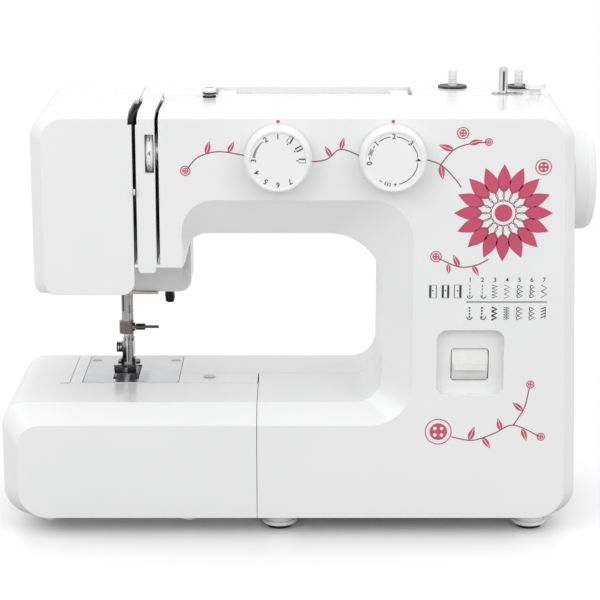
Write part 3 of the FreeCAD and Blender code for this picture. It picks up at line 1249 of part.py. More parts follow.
def presser_group():
    x, y = presser
    holder_high, holder_low = S.bed_height + 8.4 * S.wall, S.bed_height + 3.6 * S.wall
    follower = S.lifter_height + follower_reach() + S.belt_gap + S.wall * 0.8
    top = S.shaft_height + 6 * S.wall
    bracket_low, bracket_high = follower - S.wall * 1.6, follower + S.wall * 1.6
    bracket = fuse(
        box(x - 2 * S.wall, S.lifter_across + 1.2 * S.wall, y - S.presser_radius - S.fit_gap,
            y + S.presser_radius + S.wall / 2, bracket_low, bracket_high),
        rod("Y", (S.lifter_across, follower), y, lifter_span()[1], S.wall * 0.8))
    node("presser_bar", fuse(rod("Z", presser, holder_low + 2 * S.wall, top, S.presser_radius), bracket))
    side = S.foot_width / 4
    near = S.needle_depth + 2.4 * S.wall
    block = fuse(box(x - side, x + side, near, y + S.presser_radius + S.wall / 2, holder_low, holder_high),
                 box(x - side * 0.7, x + side * 0.7, near, near + 2 * S.wall, holder_low - S.wall * 1.2,
                     holder_low + S.wall))
    bore = rod("Z", presser, holder_low - S.wall, holder_high + S.wall, S.presser_radius + S.fit_gap)
    mid_height = (holder_low + holder_high) / 2
    thread = rod("X", (y - S.wall, mid_height), x - 3 * side, x, S.wall * 0.6 + S.fit_gap)
    notch = rod("X", (near + S.wall, holder_low - S.wall / 2), x - side, x + side, S.wall * 0.4 + S.fit_gap)
    node("foot_holder", cut(block, bore, thread, notch))
    outer = x - side - S.wall * 1.8
    node("foot_screw", fuse(
        rod("X", (y - S.wall, mid_height), outer, x - S.presser_radius - S.fit_gap, S.wall * 0.6),
        rod("X", (y - S.wall, mid_height), outer, x - side - S.fit_gap, S.wall * 1.4)))
    presser_foot(x, near, holder_low, side)


def presser_foot(x, near, holder_low, side):
    low = S.foot_sole
    thick = S.foot_thick
    wide = S.foot_width / 2
    toe, heel = S.needle_depth - 5 * S.wall, S.presser_depth + 2 * S.wall
    sole = prism("sole", "XY_Plane", low, low + thick, frame_lines(x - wide, x + wide, toe, heel),
                 [S.wall] * 4)
    gap = box(x - 1.8 * S.wall, x + 1.8 * S.wall, S.needle_depth - 1.2 * S.wall,
              S.needle_depth + 1.2 * S.wall, low - S.wall, low + S.wall)
    toe_gap = box(x - S.wall * 0.6, x + S.wall * 0.6, toe - S.wall, S.needle_depth,
                  low - S.wall, low + S.wall)
    waist = [box(x + sign * wide - S.wall, x + sign * wide + S.wall, S.needle_depth + S.wall,
                 S.presser_depth - S.wall, low - S.wall, low + S.wall) for sign in (-1, 1)]
    cheeks = [box(x + sign * side - S.wall * 0.4, x + sign * side + S.wall * 0.4, near, near + 2 * S.wall,
                  low + S.wall * 0.4, holder_low - S.part_gap) for sign in (-1, 1)]
    pin = rod("X", (near + S.wall, holder_low - S.wall / 2), x - side, x + side, S.wall * 0.4)
    node("presser_foot", fuse(cut(sole, gap, toe_gap, *waist), *cheeks, pin))


def follower_reach():
    # Height of the lifter eccentric straight above its stud with the lever hanging.
    lag = math.radians(sizes["lifter_lag"])
    across = S.lifter_throw * math.cos(lag)
    flat = math.sqrt(S.lifter_radius.value ** 2 - across.value ** 2)
    height = Dim(flat, "sqrt(%s ^ 2 - %s ^ 2)" % (S.lifter_radius.text, across.text))
    return height - S.lifter_throw * math.sin(lag)


def presser_lifter():
    start, end = lifter_span()
    lag = math.radians(sizes["lifter_lag"])
    x, z = S.lifter_across, S.lifter_height
    centre = (x + S.lifter_throw * math.cos(lag), z - S.lifter_throw * math.sin(lag))
    disc = rod("Y", centre, start, end - S.part_gap, S.lifter_radius)
    arm = prism("lifter_arm", "XZ_Plane", start, end - S.wall, frame_lines(
        x - 1.4 * S.wall, x + 1.4 * S.wall, z - S.lifter_arm, z), [S.wall / 2] * 4)
    tip = prism("lifter_tip", "XZ_Plane", start, end + S.wall, frame_lines(
        x - 1.6 * S.wall, x + 1.6 * S.wall, z - S.lifter_length, z - S.lifter_length + S.lifter_grip),
        [S.wall] * 4)
    bore = rod("Y", (x, z), start - S.wall, end + S.wall, S.wall * 1.2 + S.fit_gap)
    node("presser_lifter", cut(fuse(disc, arm, tip), bore))


def dials():
    thick = S.dial_rise - S.part_gap

    def dial(name, across, cam):
        knob = turned(name, "-Y", (across, front - S.part_gap, S.dial_height), [
            (0, 0), (0, S.dial_radius), (thick * 0.5, S.dial_radius), (thick * 0.9, S.dial_radius * 0.95),
            (thick, S.dial_radius * 0.9), (thick, S.dial_radius * 0.84),
            (thick - S.wall * 0.3, S.dial_radius * 0.82),
            (thick - S.wall * 0.3, 0)])
        spindle = rod("Y", (across, S.dial_height), front - S.part_gap, mid + 6 * S.wall, S.dial_spindle)
        stack = rod("Y", (across, S.dial_height), mid + S.wall, mid + 5 * S.wall, cam)
        return fuse(knob, spindle, stack)

    node("selector_dial", dial("selector_knob", S.selector_across, S.selector_cam))
    node("length_dial", dial("length_knob", S.length_across, S.length_cam))


def tension_group():
    axis = (S.tension_depth, S.tension_height)
    left = S.window_left + S.part_gap
    right = S.window_right - S.part_gap
    post = S.wall
    node("tension_post", fuse(rod("X", axis, left - 2 * S.wall, left_bearing[0], post),
                              rod("X", axis, left - 2 * S.wall, left - S.wall, post * 2)))
    bore = post + S.fit_gap
    wheel = turned("tension_knob", "X", (left, *axis), [
        (0, bore), (0, S.tension_radius * 0.9), (S.wall * 0.4, S.tension_radius),
        (right - left - S.wall * 0.4, S.tension_radius), (right - left, S.tension_radius * 0.9),
        (right - left, bore)])
    node("tension_wheel", wheel)
    disc = S.tension_radius * 0.7
    discs = [cut(rod("X", axis, place, place + S.wall * 0.3, disc),
                 rod("X", axis, place - S.wall, place + S.wall, bore))
             for place in (S.slot_right - S.wall * 0.5, S.slot_right + S.wall * 0.2)]
    node("tension_discs", group(*discs))


def reverse_lever():
    height = S.lever_middle
    left, right = S.lever_left + S.move_gap, S.lever_right - S.move_gap
    axis = (S.drum_depth, height)
    drum = rod("X", axis, left, right, S.drum_radius)
    ridge = box(left + S.wall / 2, right - S.wall / 2,
                front + S.wall * 0.4, S.drum_depth - S.drum_radius * 0.6,
                height - S.wall, height + S.wall * 0.2)
    hollow = rod("X", axis, left + S.wall, right - S.wall, S.drum_radius - 1.4 * S.wall)
    back = box(left - S.wall, right + S.wall, S.drum_depth + 2 * S.wall, S.drum_depth + 2 * S.drum_radius,
               height - 2 * S.drum_radius, height + 2 * S.drum_radius)
    bore = rod("X", axis, left - S.wall, right + S.wall, S.wall + S.fit_gap)
    node("reverse_lever", cut(fuse(cut(drum, hollow), ridge), back, bore))


def pivot_pins():
    radius = S.wall - S.fit_gap
    lever_pin = rod("X", (S.drum_depth, S.lever_middle), S.lever_left - 2 * S.wall,
                    S.lever_right + 2 * S.wall, radius)
    axis, reach, depth = (S.handle_pivot, S.handle_height), 1.6 * S.wall, S.handle_bar * 0.7
    handle_pins = [rod("X", axis, S.handle_left - reach, S.handle_left + depth, radius),
                   rod("X", axis, S.handle_right - depth, S.handle_right + reach, radius)]
    node("pivot_pins", group(lever_pin, *handle_pins))


def carrying_handle():
    y, z = S.handle_pivot, S.handle_height
    low, high = z - S.handle_thick / 2, z + S.handle_thick / 2
    left, right, near = S.handle_left, S.handle_right, S.handle_near
    grip = box(left, right, near, near + S.handle_bar, low, high)
    arms = [box(start, start + S.handle_bar, near, y, low, high) for start in (left, right - S.handle_bar)]
    ends = [rod("X", (y, z), start, start + S.handle_bar, S.handle_thick / 2)
            for start in (left, right - S.handle_bar)]
    bail = fuse(grip, *arms, *ends)
    soft = rounded(bail, S.wall, lambda edge, middle: abs(middle.y - near.value) < 0.01)
    bores = [rod("X", (y, z), left - S.wall, left + S.handle_bar * 0.75, S.wall),
             rod("X", (y, z), right - S.handle_bar * 0.75, right + S.wall, S.wall)]
    node("carrying_handle", cut(soft, *bores))


def top_fittings():
    top = S.top_height
    for label, across, rise in (("left_spool_pin", S.spool_left, S.left_spool_rise),
                                ("right_spool_pin", S.spool_right, S.right_spool_rise)):
        radius = S.spool_radius
        length = rise + 18 * S.wall
        node(label, turned(label + "_blank", "Z", (across, S.spool_depth, top - 18 * S.wall), [
            (0, 0), (0, radius), (length - 1.6 * S.wall, radius), (length - 0.8 * S.wall, radius * 0.85),
            (length, radius * 0.4), (length, 0)]))
    left_pin = (S.spool_left, S.spool_depth)
    node("spool_felt", cut(rod("Z", left_pin, top, top + S.felt_thick, S.felt_radius),
                           rod("Z", left_pin, top - S.wall, top + S.wall, S.spool_radius + S.part_gap)))
    winder = (S.winder_across, S.winder_depth)
    plate = cut(box(S.winder_across - 4 * S.wall, S.winder_across + 4 * S.wall, S.winder_depth - 3 * S.wall,
                    S.winder_depth + 3 * S.wall, top - 4 * S.wall, top - 2.4 * S.wall),
                rod("Z", winder, top - 5 * S.wall, top, S.spool_radius + S.fit_gap))
    node("winder_arm", plate)
    base = top - 9 * S.wall
    rise = S.full_height - base
    node("winder_spindle", turned("spindle_blank", "Z", (*winder, base), [
        (0, 0), (0, S.wall * 4), (S.wall * 2, S.wall * 4), (S.wall * 2, S.spool_radius * 1.6),
        (S.wall * 5 - S.part_gap, S.spool_radius * 1.6), (S.wall * 5 - S.part_gap, S.spool_radius),
        (rise - S.wall * 0.6, S.spool_radius), (rise, S.spool_radius * 0.6), (rise, 0)]))
    node("winder_stopper", turned("stopper_blank", "Z", (S.stopper_across, S.winder_depth, top), [
        (0, 0), (0, S.wall * 1.6), (S.wall * 1.6, S.wall * 1.4), (S.wall * 1.6, S.wall * 2.8),
        (S.wall * 2.8, S.wall * 2.8), (S.wall * 3.4, S.wall * 2.2), (S.wall * 3.4, 0)]))
    guide_x = S.throat_right - S.dial_spacing - S.guide_offset + S.felt_radius
    clip_y = S.seam_depth - 8 * S.wall
    clip = cut(box(guide_x - 2 * S.wall, guide_x + 2 * S.wall, clip_y + S.wall / 2, clip_y + 3 * S.wall, top,
                   top + 1.6 * S.wall),
               box(guide_x - 1.2 * S.wall, guide_x + 3 * S.wall, clip_y + S.wall, clip_y + 2.4 * S.wall,
                   top + S.wall * 0.5, top + S.wall))
    loop_x = S.slot_right + 1.8 * S.wall
    loop = cut(box(loop_x - S.wall * 0.6, loop_x + S.wall * 0.6, clip_y - 3 * S.wall, clip_y + S.wall, top,
                   top + 1.2 * S.wall),
               box(loop_x - S.wall, loop_x + S.wall, clip_y - 2.4 * S.wall, clip_y + S.wall * 0.4,
                   top + S.wall * 0.3, top + S.wall * 0.9))
    node("thread_guides", group(clip, loop))


def head_fittings():
    x = S.needle_across
    low, high = S.head_bottom, lug_low
    sheet_metal = box(x - 4 * S.wall, S.face_seam - S.part_gap, S.needle_depth - 4 * S.wall, S.plate_front,
                      low, high)
    slots = [box(x - 3 * S.wall, x + 3 * S.wall, S.needle_depth - 2 * S.wall, S.needle_depth + 2 * S.wall,
                 low - S.wall, high + S.wall),
             rod("Z", presser, low - S.wall, high + S.wall, S.presser_radius + S.part_gap)]
    node("head_bottom_plate", cut(sheet_metal, *slots))
    holder_x = x - 8 * S.wall
    lamp_y = (S.plate_front + S.plate_back) / 2
    socket_top = S.shaft_height - 8 * S.wall
    node("lamp", turned("lamp_blank", "Z", (holder_x, lamp_y, socket_top - S.lamp_length), [
        (0, 0), (S.wall * 0.6, S.wall * 1.6), (S.wall * 2.4, S.wall * 3), (S.wall * 5, S.wall * 3),
        (S.wall * 7, S.wall * 2.2), (S.wall * 7, S.wall * 3.4), (S.lamp_length, S.wall * 3.4),
        (S.lamp_length, 0)]))


def screws():
    heads = []
    for spot in screw_spots():
        head = rod("Y", spot, inner_rear, inner_rear + S.wall * 0.7, S.wall * 1.2)
        cross = box(spot[0] - S.wall * 0.9, spot[0] + S.wall * 0.9, inner_rear + S.wall * 0.4, rear,
                    spot[1] - S.wall * 0.15, spot[1] + S.wall * 0.15)
        heads.append(cut(head, cross))
    for x, y in plate_screw_spots():
        head = rod("Z", (x, y), S.bed_height - S.plate_thick, S.bed_height, S.wall * 1.2)
        slot = box(x - S.wall * 1.4, x + S.wall * 1.4, y - S.wall * 0.15, y + S.wall * 0.15,
                   S.bed_height - S.wall * 0.3, S.bed_height + S.wall)
        heads.append(cut(head, slot))
    cap = rod("Z", (S.head_right + 5 * S.wall, S.seam_depth - 3.6 * S.wall), S.bed_height,
              S.bed_height + S.wall * 0.3, S.wall * 1.6)
    node("screws", group(*heads, cap))


def right_side():
    y, z = S.inlet_depth, S.inlet_height
    half_y, half_z = S.inlet_half_width - S.part_gap, S.inlet_half_height - S.part_gap
    outer = side_at(z - half_z - S.wall) + S.part_gap
    inner = outer - 2 * S.wall
    flange = box(outer, outer + S.wall * 0.4, y - half_y - S.wall, y + half_y + S.wall, z - half_z - S.wall,
                 z + half_z + S.wall)
    block = box(inner - 6 * S.wall, outer + S.wall * 0.2, y - half_y, y + half_y, z - half_z, z + half_z)
    hollow = box(inner - 5 * S.wall, outer + S.wall, y - half_y + S.wall, y + half_y - S.wall,
                 z - half_z + S.wall, z + half_z - S.wall)
    pins = [rod("X", (y + S.wall * 2 * step, z), inner - 5.5 * S.wall, inner - 2 * S.wall, S.wall / 2)
            for step in (-1, 0, 1)]
    node("power_inlet", fuse(cut(fuse(flange, block), hollow), *pins))
    y, z = S.switch_depth, S.switch_height
    half_y, half_z = S.switch_half_width - S.move_gap, S.switch_half_height - 2 * S.move_gap
    outer = side_at(z)
    pivot = outer - S.switch_pivot
    drum = rod("Y", (pivot - 8 * S.wall, z), y - half_y, y + half_y, 11.2 * S.wall)
    face = box(pivot - S.wall, outer + 2 * S.wall, y - half_y, y + half_y, z - half_z, z + half_z)
    trunnion = rod("Y", (pivot, z), y - half_y - S.wall, y + half_y + S.wall, S.wall * 0.6)
    node("power_switch", fuse(common(drum, face), trunnion))


def rubber_feet():
    feet = [turned("foot_blank", "Z", (across, depth, 0), [
        (0, 0), (0, S.foot_radius * 0.8), (S.wall / 2, S.foot_radius * 0.9),
        (S.base_height / 2, S.foot_radius * 0.9), (S.base_height / 2, 0)])
        for across in (S.foot_left, S.foot_right) for depth in (S.foot_near, S.foot_far)]
    node("rubber_feet", group(*feet))


base_plate()
machine_frame()
bushes()
crank_pin = upper_drive()
belts()
motor()
lower_drive()
hook_group()
needle_plate()
feed_group()
needle_group(crank_pin)
take_up()
presser_group()
presser_lifter()
dials()
tension_group()
reverse_lever()
pivot_pins()
carrying_handle()
top_fittings()
head_fittings()
screws()
right_side()
rubber_feet()

doc.recompute()
os.makedirs("parts", exist_ok=True)
for item in doc.Objects:
    if "Invalid" in item.State or "Error" in item.State:
        raise RuntimeError("feature failed: %s" % item.Label)
for item in nodes:
    if item.Shape.isNull() or not item.Shape.isValid():
        raise RuntimeError("no valid shape: %s" % item.Label)
for item in nodes:
    item.Shape.exportStep("parts/%s.step" % item.Label)
print("%d parts written" % len(nodes))
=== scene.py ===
import json
import math
import bpy
import bmesh
from mathutils import Matrix, Vector
from mathutils.bvhtree import BVHTree


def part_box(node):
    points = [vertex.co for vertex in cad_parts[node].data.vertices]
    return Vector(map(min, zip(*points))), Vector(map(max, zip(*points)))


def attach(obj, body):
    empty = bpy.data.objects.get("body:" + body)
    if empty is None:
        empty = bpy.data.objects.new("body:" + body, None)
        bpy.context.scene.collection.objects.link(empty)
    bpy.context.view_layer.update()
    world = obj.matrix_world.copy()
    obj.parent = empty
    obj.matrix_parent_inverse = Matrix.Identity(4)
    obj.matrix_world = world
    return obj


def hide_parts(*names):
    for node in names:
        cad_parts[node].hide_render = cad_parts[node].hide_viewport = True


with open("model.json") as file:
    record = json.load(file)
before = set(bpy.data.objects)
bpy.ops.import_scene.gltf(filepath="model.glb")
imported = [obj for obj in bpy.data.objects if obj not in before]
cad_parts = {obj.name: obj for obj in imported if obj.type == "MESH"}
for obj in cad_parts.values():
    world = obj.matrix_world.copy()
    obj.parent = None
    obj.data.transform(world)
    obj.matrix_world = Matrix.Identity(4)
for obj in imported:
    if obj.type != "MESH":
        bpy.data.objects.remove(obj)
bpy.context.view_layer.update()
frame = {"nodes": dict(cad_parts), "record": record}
nodes = frame["nodes"]
scene = bpy.context.scene
mm = 0.001
print("frame loaded:", len(nodes), "nodes")


# surfaces: each tree reads Object coordinates, so the pattern stays put on every piece

def startMaterial(name):
    material = bpy.data.materials.new(name)
    material.use_nodes = True
    tree = material.node_tree
    coords = tree.nodes.new("ShaderNodeTexCoord").outputs["Object"]
    return material, tree, tree.nodes["Principled BSDF"], coords


def noiseOf(tree, coords, scale, detail=3.0, stretch=None):
    if stretch:
        mapping = tree.nodes.new("ShaderNodeMapping")
        mapping.inputs["Scale"].default_value = stretch
        tree.links.new(coords, mapping.inputs["Vector"])
        coords = mapping.outputs["Vector"]
    noise = tree.nodes.new("ShaderNodeTexNoise")
    noise.inputs["Scale"].default_value = scale
    noise.inputs["Detail"].default_value = detail
    tree.links.new(coords, noise.inputs["Vector"])
    return noise.outputs["Fac"]


noiseSpan = (0.3, 0.7)  # where most values of a noise lie


def rangeOf(tree, value, low, high, span=noiseSpan):
    node = tree.nodes.new("ShaderNodeMapRange")
    for socket, number in zip(("From Min", "From Max", "To Min", "To Max"), (*span, low, high)):
        node.inputs[socket].default_value = number
    tree.links.new(value, node.inputs["Value"])
    return node.outputs["Result"]


def tintOf(tree, value, dark, light):
    ramp = tree.nodes.new("ShaderNodeValToRGB")
    for stop, position, tone in zip(ramp.color_ramp.elements, noiseSpan, (dark, light)):
        stop.position = position
        stop.color = (*tone, 1)
    tree.links.new(value, ramp.inputs["Fac"])
    return ramp.outputs["Color"]


def bumpOf(tree, shader, height, strength, distance):
    bump = tree.nodes.new("ShaderNodeBump")
    bump.inputs["Strength"].default_value = strength
    bump.inputs["Distance"].default_value = distance
    tree.links.new(height, bump.inputs["Height"])
    tree.links.new(bump.outputs["Normal"], shader.inputs["Normal"])


# dark and light tone, roughness from and to, grain scale, grain depth in metres, clear coat, shine
plastics = {
    "shellPlastic": dict(dark=(0.800, 0.803, 0.808), light=(0.835, 0.836, 0.838), gloss=(0.19, 0.27),
                         grain=700, depth=0.00002, coat=0.25),
    "dialPlastic": dict(dark=(0.830, 0.832, 0.835), light=(0.862, 0.863, 0.865), gloss=(0.28, 0.36),
                        grain=900, depth=0.00002, coat=0.1),
    "leverPlastic": dict(dark=(0.76, 0.757, 0.745), light=(0.80, 0.797, 0.787), gloss=(0.25, 0.33),
                         grain=900, depth=0.00002, coat=0.1),
    "blackPlastic": dict(dark=(0.006, 0.006, 0.007), light=(0.013, 0.013, 0.014), gloss=(0.34, 0.48),
                         grain=1100, depth=0.00004, coat=0.0, shine=0.18),
    "naturalNylon": dict(dark=(0.66, 0.63, 0.55), light=(0.74, 0.71, 0.64), gloss=(0.4, 0.5),
                         grain=900, depth=0.00003, coat=0.0),
    "footRubber": dict(dark=(0.012, 0.012, 0.012), light=(0.030, 0.030, 0.030), gloss=(0.62, 0.8),
                       grain=1600, depth=0.00008, coat=0.0, shine=0.2),
    "rosePrint": dict(dark=(0.520, 0.062, 0.128), light=(0.600, 0.080, 0.155), gloss=(0.38, 0.5),
                      grain=2600, depth=0.00001, coat=0.0),
    "stemPrint": dict(dark=(0.235, 0.055, 0.085), light=(0.30, 0.078, 0.115), gloss=(0.38, 0.5),
                      grain=2600, depth=0.00001, coat=0.0),
    "darkPrint": dict(dark=(0.030, 0.030, 0.034), light=(0.060, 0.060, 0.066), gloss=(0.4, 0.52),
                      grain=2600, depth=0.00001, coat=0.0),
    "greyPrint": dict(dark=(0.22, 0.22, 0.23), light=(0.28, 0.28, 0.29), gloss=(0.4, 0.52),
                      grain=2600, depth=0.00001, coat=0.0),
}
plasticGrain = dict(cloud=9.0, patches=42.0, bump=0.35, coatRough=0.06)


def plasticFinish(name, dark, light, gloss, grain, depth, coat, shine=0.5):
    material, tree, shader, coords = startMaterial(name)
    cloud = noiseOf(tree, coords, plasticGrain["cloud"], 4.0)
    patches = noiseOf(tree, coords, plasticGrain["patches"], 5.0)
    tree.links.new(tintOf(tree, cloud, dark, light), shader.inputs["Base Color"])
    tree.links.new(rangeOf(tree, patches, *gloss), shader.inputs["Roughness"])
    bumpOf(tree, shader, noiseOf(tree, coords, grain, 2.0), plasticGrain["bump"], depth)
    shader.inputs["Specular IOR Level"].default_value = shine
    shader.inputs["Coat Weight"].default_value = coat
    shader.inputs["Coat Roughness"].default_value = plasticGrain["coatRough"]
    return material


# dark and light tone, roughness from and to, stretch of the grinding marks along each axis, depth in metres
metals = {
    "platedChrome": dict(dark=(0.62, 0.62, 0.63), light=(0.78, 0.78, 0.79), gloss=(0.07, 0.16),
                         stretch=(60, 60, 4), depth=0.000004),
    "groundSteel": dict(dark=(0.40, 0.405, 0.415), light=(0.54, 0.545, 0.555), gloss=(0.26, 0.38),
                        stretch=(3, 70, 70), depth=0.00001),
    "barSteel": dict(dark=(0.34, 0.335, 0.34), light=(0.48, 0.475, 0.48), gloss=(0.10, 0.20),
                     stretch=(60, 60, 4), depth=0.000004),
    "brownedSteel": dict(dark=(0.13, 0.105, 0.10), light=(0.24, 0.195, 0.185), gloss=(0.16, 0.28),
                         stretch=(30, 30, 30), depth=0.00001),
    "darkSteel": dict(dark=(0.055, 0.055, 0.06), light=(0.13, 0.13, 0.14), gloss=(0.16, 0.30),
                      stretch=(20, 60, 60), depth=0.00001),
    "beigeSteel": dict(dark=(0.46, 0.405, 0.37), light=(0.58, 0.52, 0.48), gloss=(0.34, 0.46),
                       stretch=(3, 60, 60), depth=0.00001),
    "plateSteel": dict(dark=(0.60, 0.605, 0.62), light=(0.66, 0.665, 0.68), gloss=(0.30, 0.37),
                       stretch=(3, 70, 70), depth=0.000006),
    "castAlloy": dict(dark=(0.36, 0.365, 0.37), light=(0.47, 0.475, 0.48), gloss=(0.46, 0.62),
                      stretch=(18, 18, 18), depth=0.00012),
    "sinteredBronze": dict(dark=(0.40, 0.25, 0.10), light=(0.55, 0.36, 0.16), gloss=(0.32, 0.5),
                           stretch=(40, 40, 40), depth=0.00003),
}
metalGrain = dict(marks=24.0, cloud=60.0, bump=0.4)


def metalFinish(name, dark, light, gloss, stretch, depth):
    material, tree, shader, coords = startMaterial(name)
    marks = noiseOf(tree, coords, metalGrain["marks"], 6.0, stretch)
    cloud = noiseOf(tree, coords, metalGrain["cloud"], 4.0)
    tree.links.new(tintOf(tree, cloud, dark, light), shader.inputs["Base Color"])
    tree.links.new(rangeOf(tree, marks, *gloss), shader.inputs["Roughness"])
    bumpOf(tree, shader, marks, metalGrain["bump"], depth)
    shader.inputs["Metallic"].default_value = 1.0
    return material


feltLook = dict(dark=(0.012, 0.012, 0.012), light=(0.05, 0.05, 0.048), fibres=900.0, nap=(1, 1, 0.3),
                bump=0.9, depth=0.0003, rough=0.95, sheen=0.3)


def feltFinish():
    material, tree, shader, coords = startMaterial("spoolFelt")
    fibres = noiseOf(tree, coords, feltLook["fibres"], 6.0, feltLook["nap"])
    tree.links.new(tintOf(tree, fibres, feltLook["dark"], feltLook["light"]), shader.inputs["Base Color"])
    bumpOf(tree, shader, fibres, feltLook["bump"], feltLook["depth"])
    shader.inputs["Roughness"].default_value = feltLook["rough"]
    shader.inputs["Sheen Weight"].default_value = feltLook["sheen"]
    return material


enamelLook = dict(dark=(0.035, 0.037, 0.04), light=(0.06, 0.062, 0.066), cloud=14.0, peel=260.0,
                  gloss=(0.28, 0.4), bump=0.5, depth=0.00008)


def enamelFinish():
    material, tree, shader, coords = startMaterial("darkEnamel")
    cloud, peel = noiseOf(tree, coords, enamelLook["cloud"]), noiseOf(tree, coords, enamelLook["peel"])
    tree.links.new(tintOf(tree, cloud, enamelLook["dark"], enamelLook["light"]), shader.inputs["Base Color"])
    tree.links.new(rangeOf(tree, peel, *enamelLook["gloss"]), shader.inputs["Roughness"])
    bumpOf(tree, shader, peel, enamelLook["bump"], enamelLook["depth"])
    return material


bulbLook = dict(dark=(0.80, 0.78, 0.70), light=(0.9, 0.88, 0.82), frost=120.0, gloss=(0.05, 0.18), clear=0.6)


def bulbFinish():
    material, tree, shader, coords = startMaterial("lampBulb")
    frost = noiseOf(tree, coords, bulbLook["frost"], 4.0)
    tree.links.new(tintOf(tree, frost, bulbLook["dark"], bulbLook["light"]), shader.inputs["Base Color"])
    tree.links.new(rangeOf(tree, frost, *bulbLook["gloss"]), shader.inputs["Roughness"])
    shader.inputs["Transmission Weight"].default_value = bulbLook["clear"]
    return material


surfaces = {name: plasticFinish(name, **look) for name, look in plastics.items()}
surfaces.update({name: metalFinish(name, **look) for name, look in metals.items()})
surfaces.update(spoolFelt=feltFinish(), darkEnamel=enamelFinish(), lampBulb=bulbFinish())

slotSurface = {
    "white_plastic": "shellPlastic", "black_plastic": "blackPlastic", "felt": "spoolFelt",
    "rubber": "footRubber", "chrome": "platedChrome", "steel": "groundSteel", "cast_alloy": "castAlloy",
    "painted_steel": "darkEnamel", "bronze": "sinteredBronze", "nylon": "naturalNylon",
    "lamp_glass": "lampBulb",
}
nodeSurface = {
    "selector_dial": "dialPlastic", "length_dial": "dialPlastic", "reverse_lever": "leverPlastic",
    "tension_wheel": "dialPlastic", "hand_wheel": "dialPlastic", "clutch_knob": "dialPlastic",
    "left_spool_pin": "leverPlastic", "right_spool_pin": "leverPlastic",
    "needle_bar": "barSteel", "presser_bar": "barSteel", "foot_holder": "barSteel",
    "needle_clamp": "brownedSteel", "clamp_screw": "darkSteel", "presser_foot": "darkSteel",
    "head_bottom_plate": "beigeSteel", "needle_plate": "plateSteel",
}
for row in frame["record"]["subparts"]:
    part = nodes[row["node"]]
    look = surfaces[nodeSurface.get(row["node"], slotSurface[row["material_slot"]])]
    if not part.material_slots:
        part.data.materials.append(look)
    for place in part.material_slots:
        place.material = look
print("surfaces set:", len(surfaces))


# making and placing pieces

def addPiece(name, mesh, body, surface=None):
    piece = bpy.data.objects.new(name, mesh)
    scene.collection.objects.link(piece)
    if surface:
        mesh.materials.clear()
        mesh.materials.append(surfaces[surface])
    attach(piece, body)
    return piece


def meshOf(name, points, faces):
    mesh = bpy.data.meshes.new(name)
    mesh.from_pydata(points, [], faces)
    mesh.update()
    return mesh


mergeGap = 1e-7  # metres


def reworked(mesh, merge=False, outwards=False):
    work = bmesh.new()
    work.from_mesh(mesh)
    if merge:
        bmesh.ops.remove_doubles(work, verts=work.verts, dist=mergeGap)
    if outwards:
        bmesh.ops.recalc_face_normals(work, faces=work.faces)
    work.to_mesh(mesh)
    work.free()
    return mesh


def placed(mesh, x=0.0, y=0.0, z=0.0):
    mesh.transform(Matrix.Translation((x * mm, y * mm, z * mm)))
    return mesh


def rectangle(left, right, low, high):
    return [(left, low), (right, low), (right, high), (left, high)]


def strips(left, right, low, high, count):
    # upright strips side by side, so that a flat mark follows a round piece
    wide = (right - left) / count
    return [rectangle(left + wide * i, left + wide * (i + 1), low, high) for i in range(count)]


def prismMesh(outline, along, start, stop):
    # flat outline pushed along one axis; the outline holds the other two in X, Y, Z order
    axis = "XYZ".index(along)
    points = []
    for level in (start, stop):
        for corner in outline:
            place = list(corner)
            place.insert(axis, level)
            points.append([n * mm for n in place])
    count = len(outline)
    sides = [(i, (i + 1) % count, count + (i + 1) % count, count + i) for i in range(count)]
    ends = [tuple(range(count)), tuple(range(count, 2 * count))]
    return reworked(meshOf("prism", points, sides + ends), outwards=True)


def boxMesh(low, high):
    return prismMesh(rectangle(low[0], high[0], low[1], high[1]), "Z", low[2], high[2])


def ringFaces(rings, steps):
    # quads from each ring of points to the next
    faces = []
    for ring in range(rings - 1):
        for step in range(steps):
            after = (step + 1) % steps
            faces.append((ring * steps + step, ring * steps + after,
                          (ring + 1) * steps + after, (ring + 1) * steps + step))
    return faces


def tubeMesh(path, radius, steps=12):
    # round wire with closed ends along points that have no run in X
    points = []
    knots = [Vector(p) for p in path]
    last = len(knots) - 1
    for i, knot in enumerate(knots):
        run = (knots[min(i + 1, last)] - knots[max(i - 1, 0)]).normalized()
        side = run.cross(Vector((1, 0, 0))).normalized()
        other = run.cross(side)
        for step in range(steps):
            angle = 2 * math.pi * step / steps
            points.append((knot + radius * (side * math.cos(angle) + other * math.sin(angle))) * mm)
    ends = [tuple(range(steps))[::-1], tuple(range(last * steps, (last + 1) * steps))]
    mesh = meshOf("wire", points, ringFaces(len(knots), steps) + ends)
    for face in mesh.polygons:
        face.use_smooth = len(face.vertices) == 4
    return mesh


def joined(name, meshes):
    work = bmesh.new()
    for mesh in meshes:
        work.from_mesh(mesh)
    result = bpy.data.meshes.new(name)
    work.to_mesh(result)
    work.free()
    return result


def latheMesh(name, profile, steps=48):
    # profile of (radius, height) pairs turned round Z
    points = []
    for radius, height in profile:
        for step in range(steps):
            angle = 2 * math.pi * step / steps
            points.append((radius * mm * math.cos(angle), radius * mm * math.sin(angle), height * mm))
    mesh = reworked(meshOf(name, points, ringFaces(len(profile), steps)), merge=True, outwards=True)
    for face in mesh.polygons:
        face.use_smooth = True
    return mesh


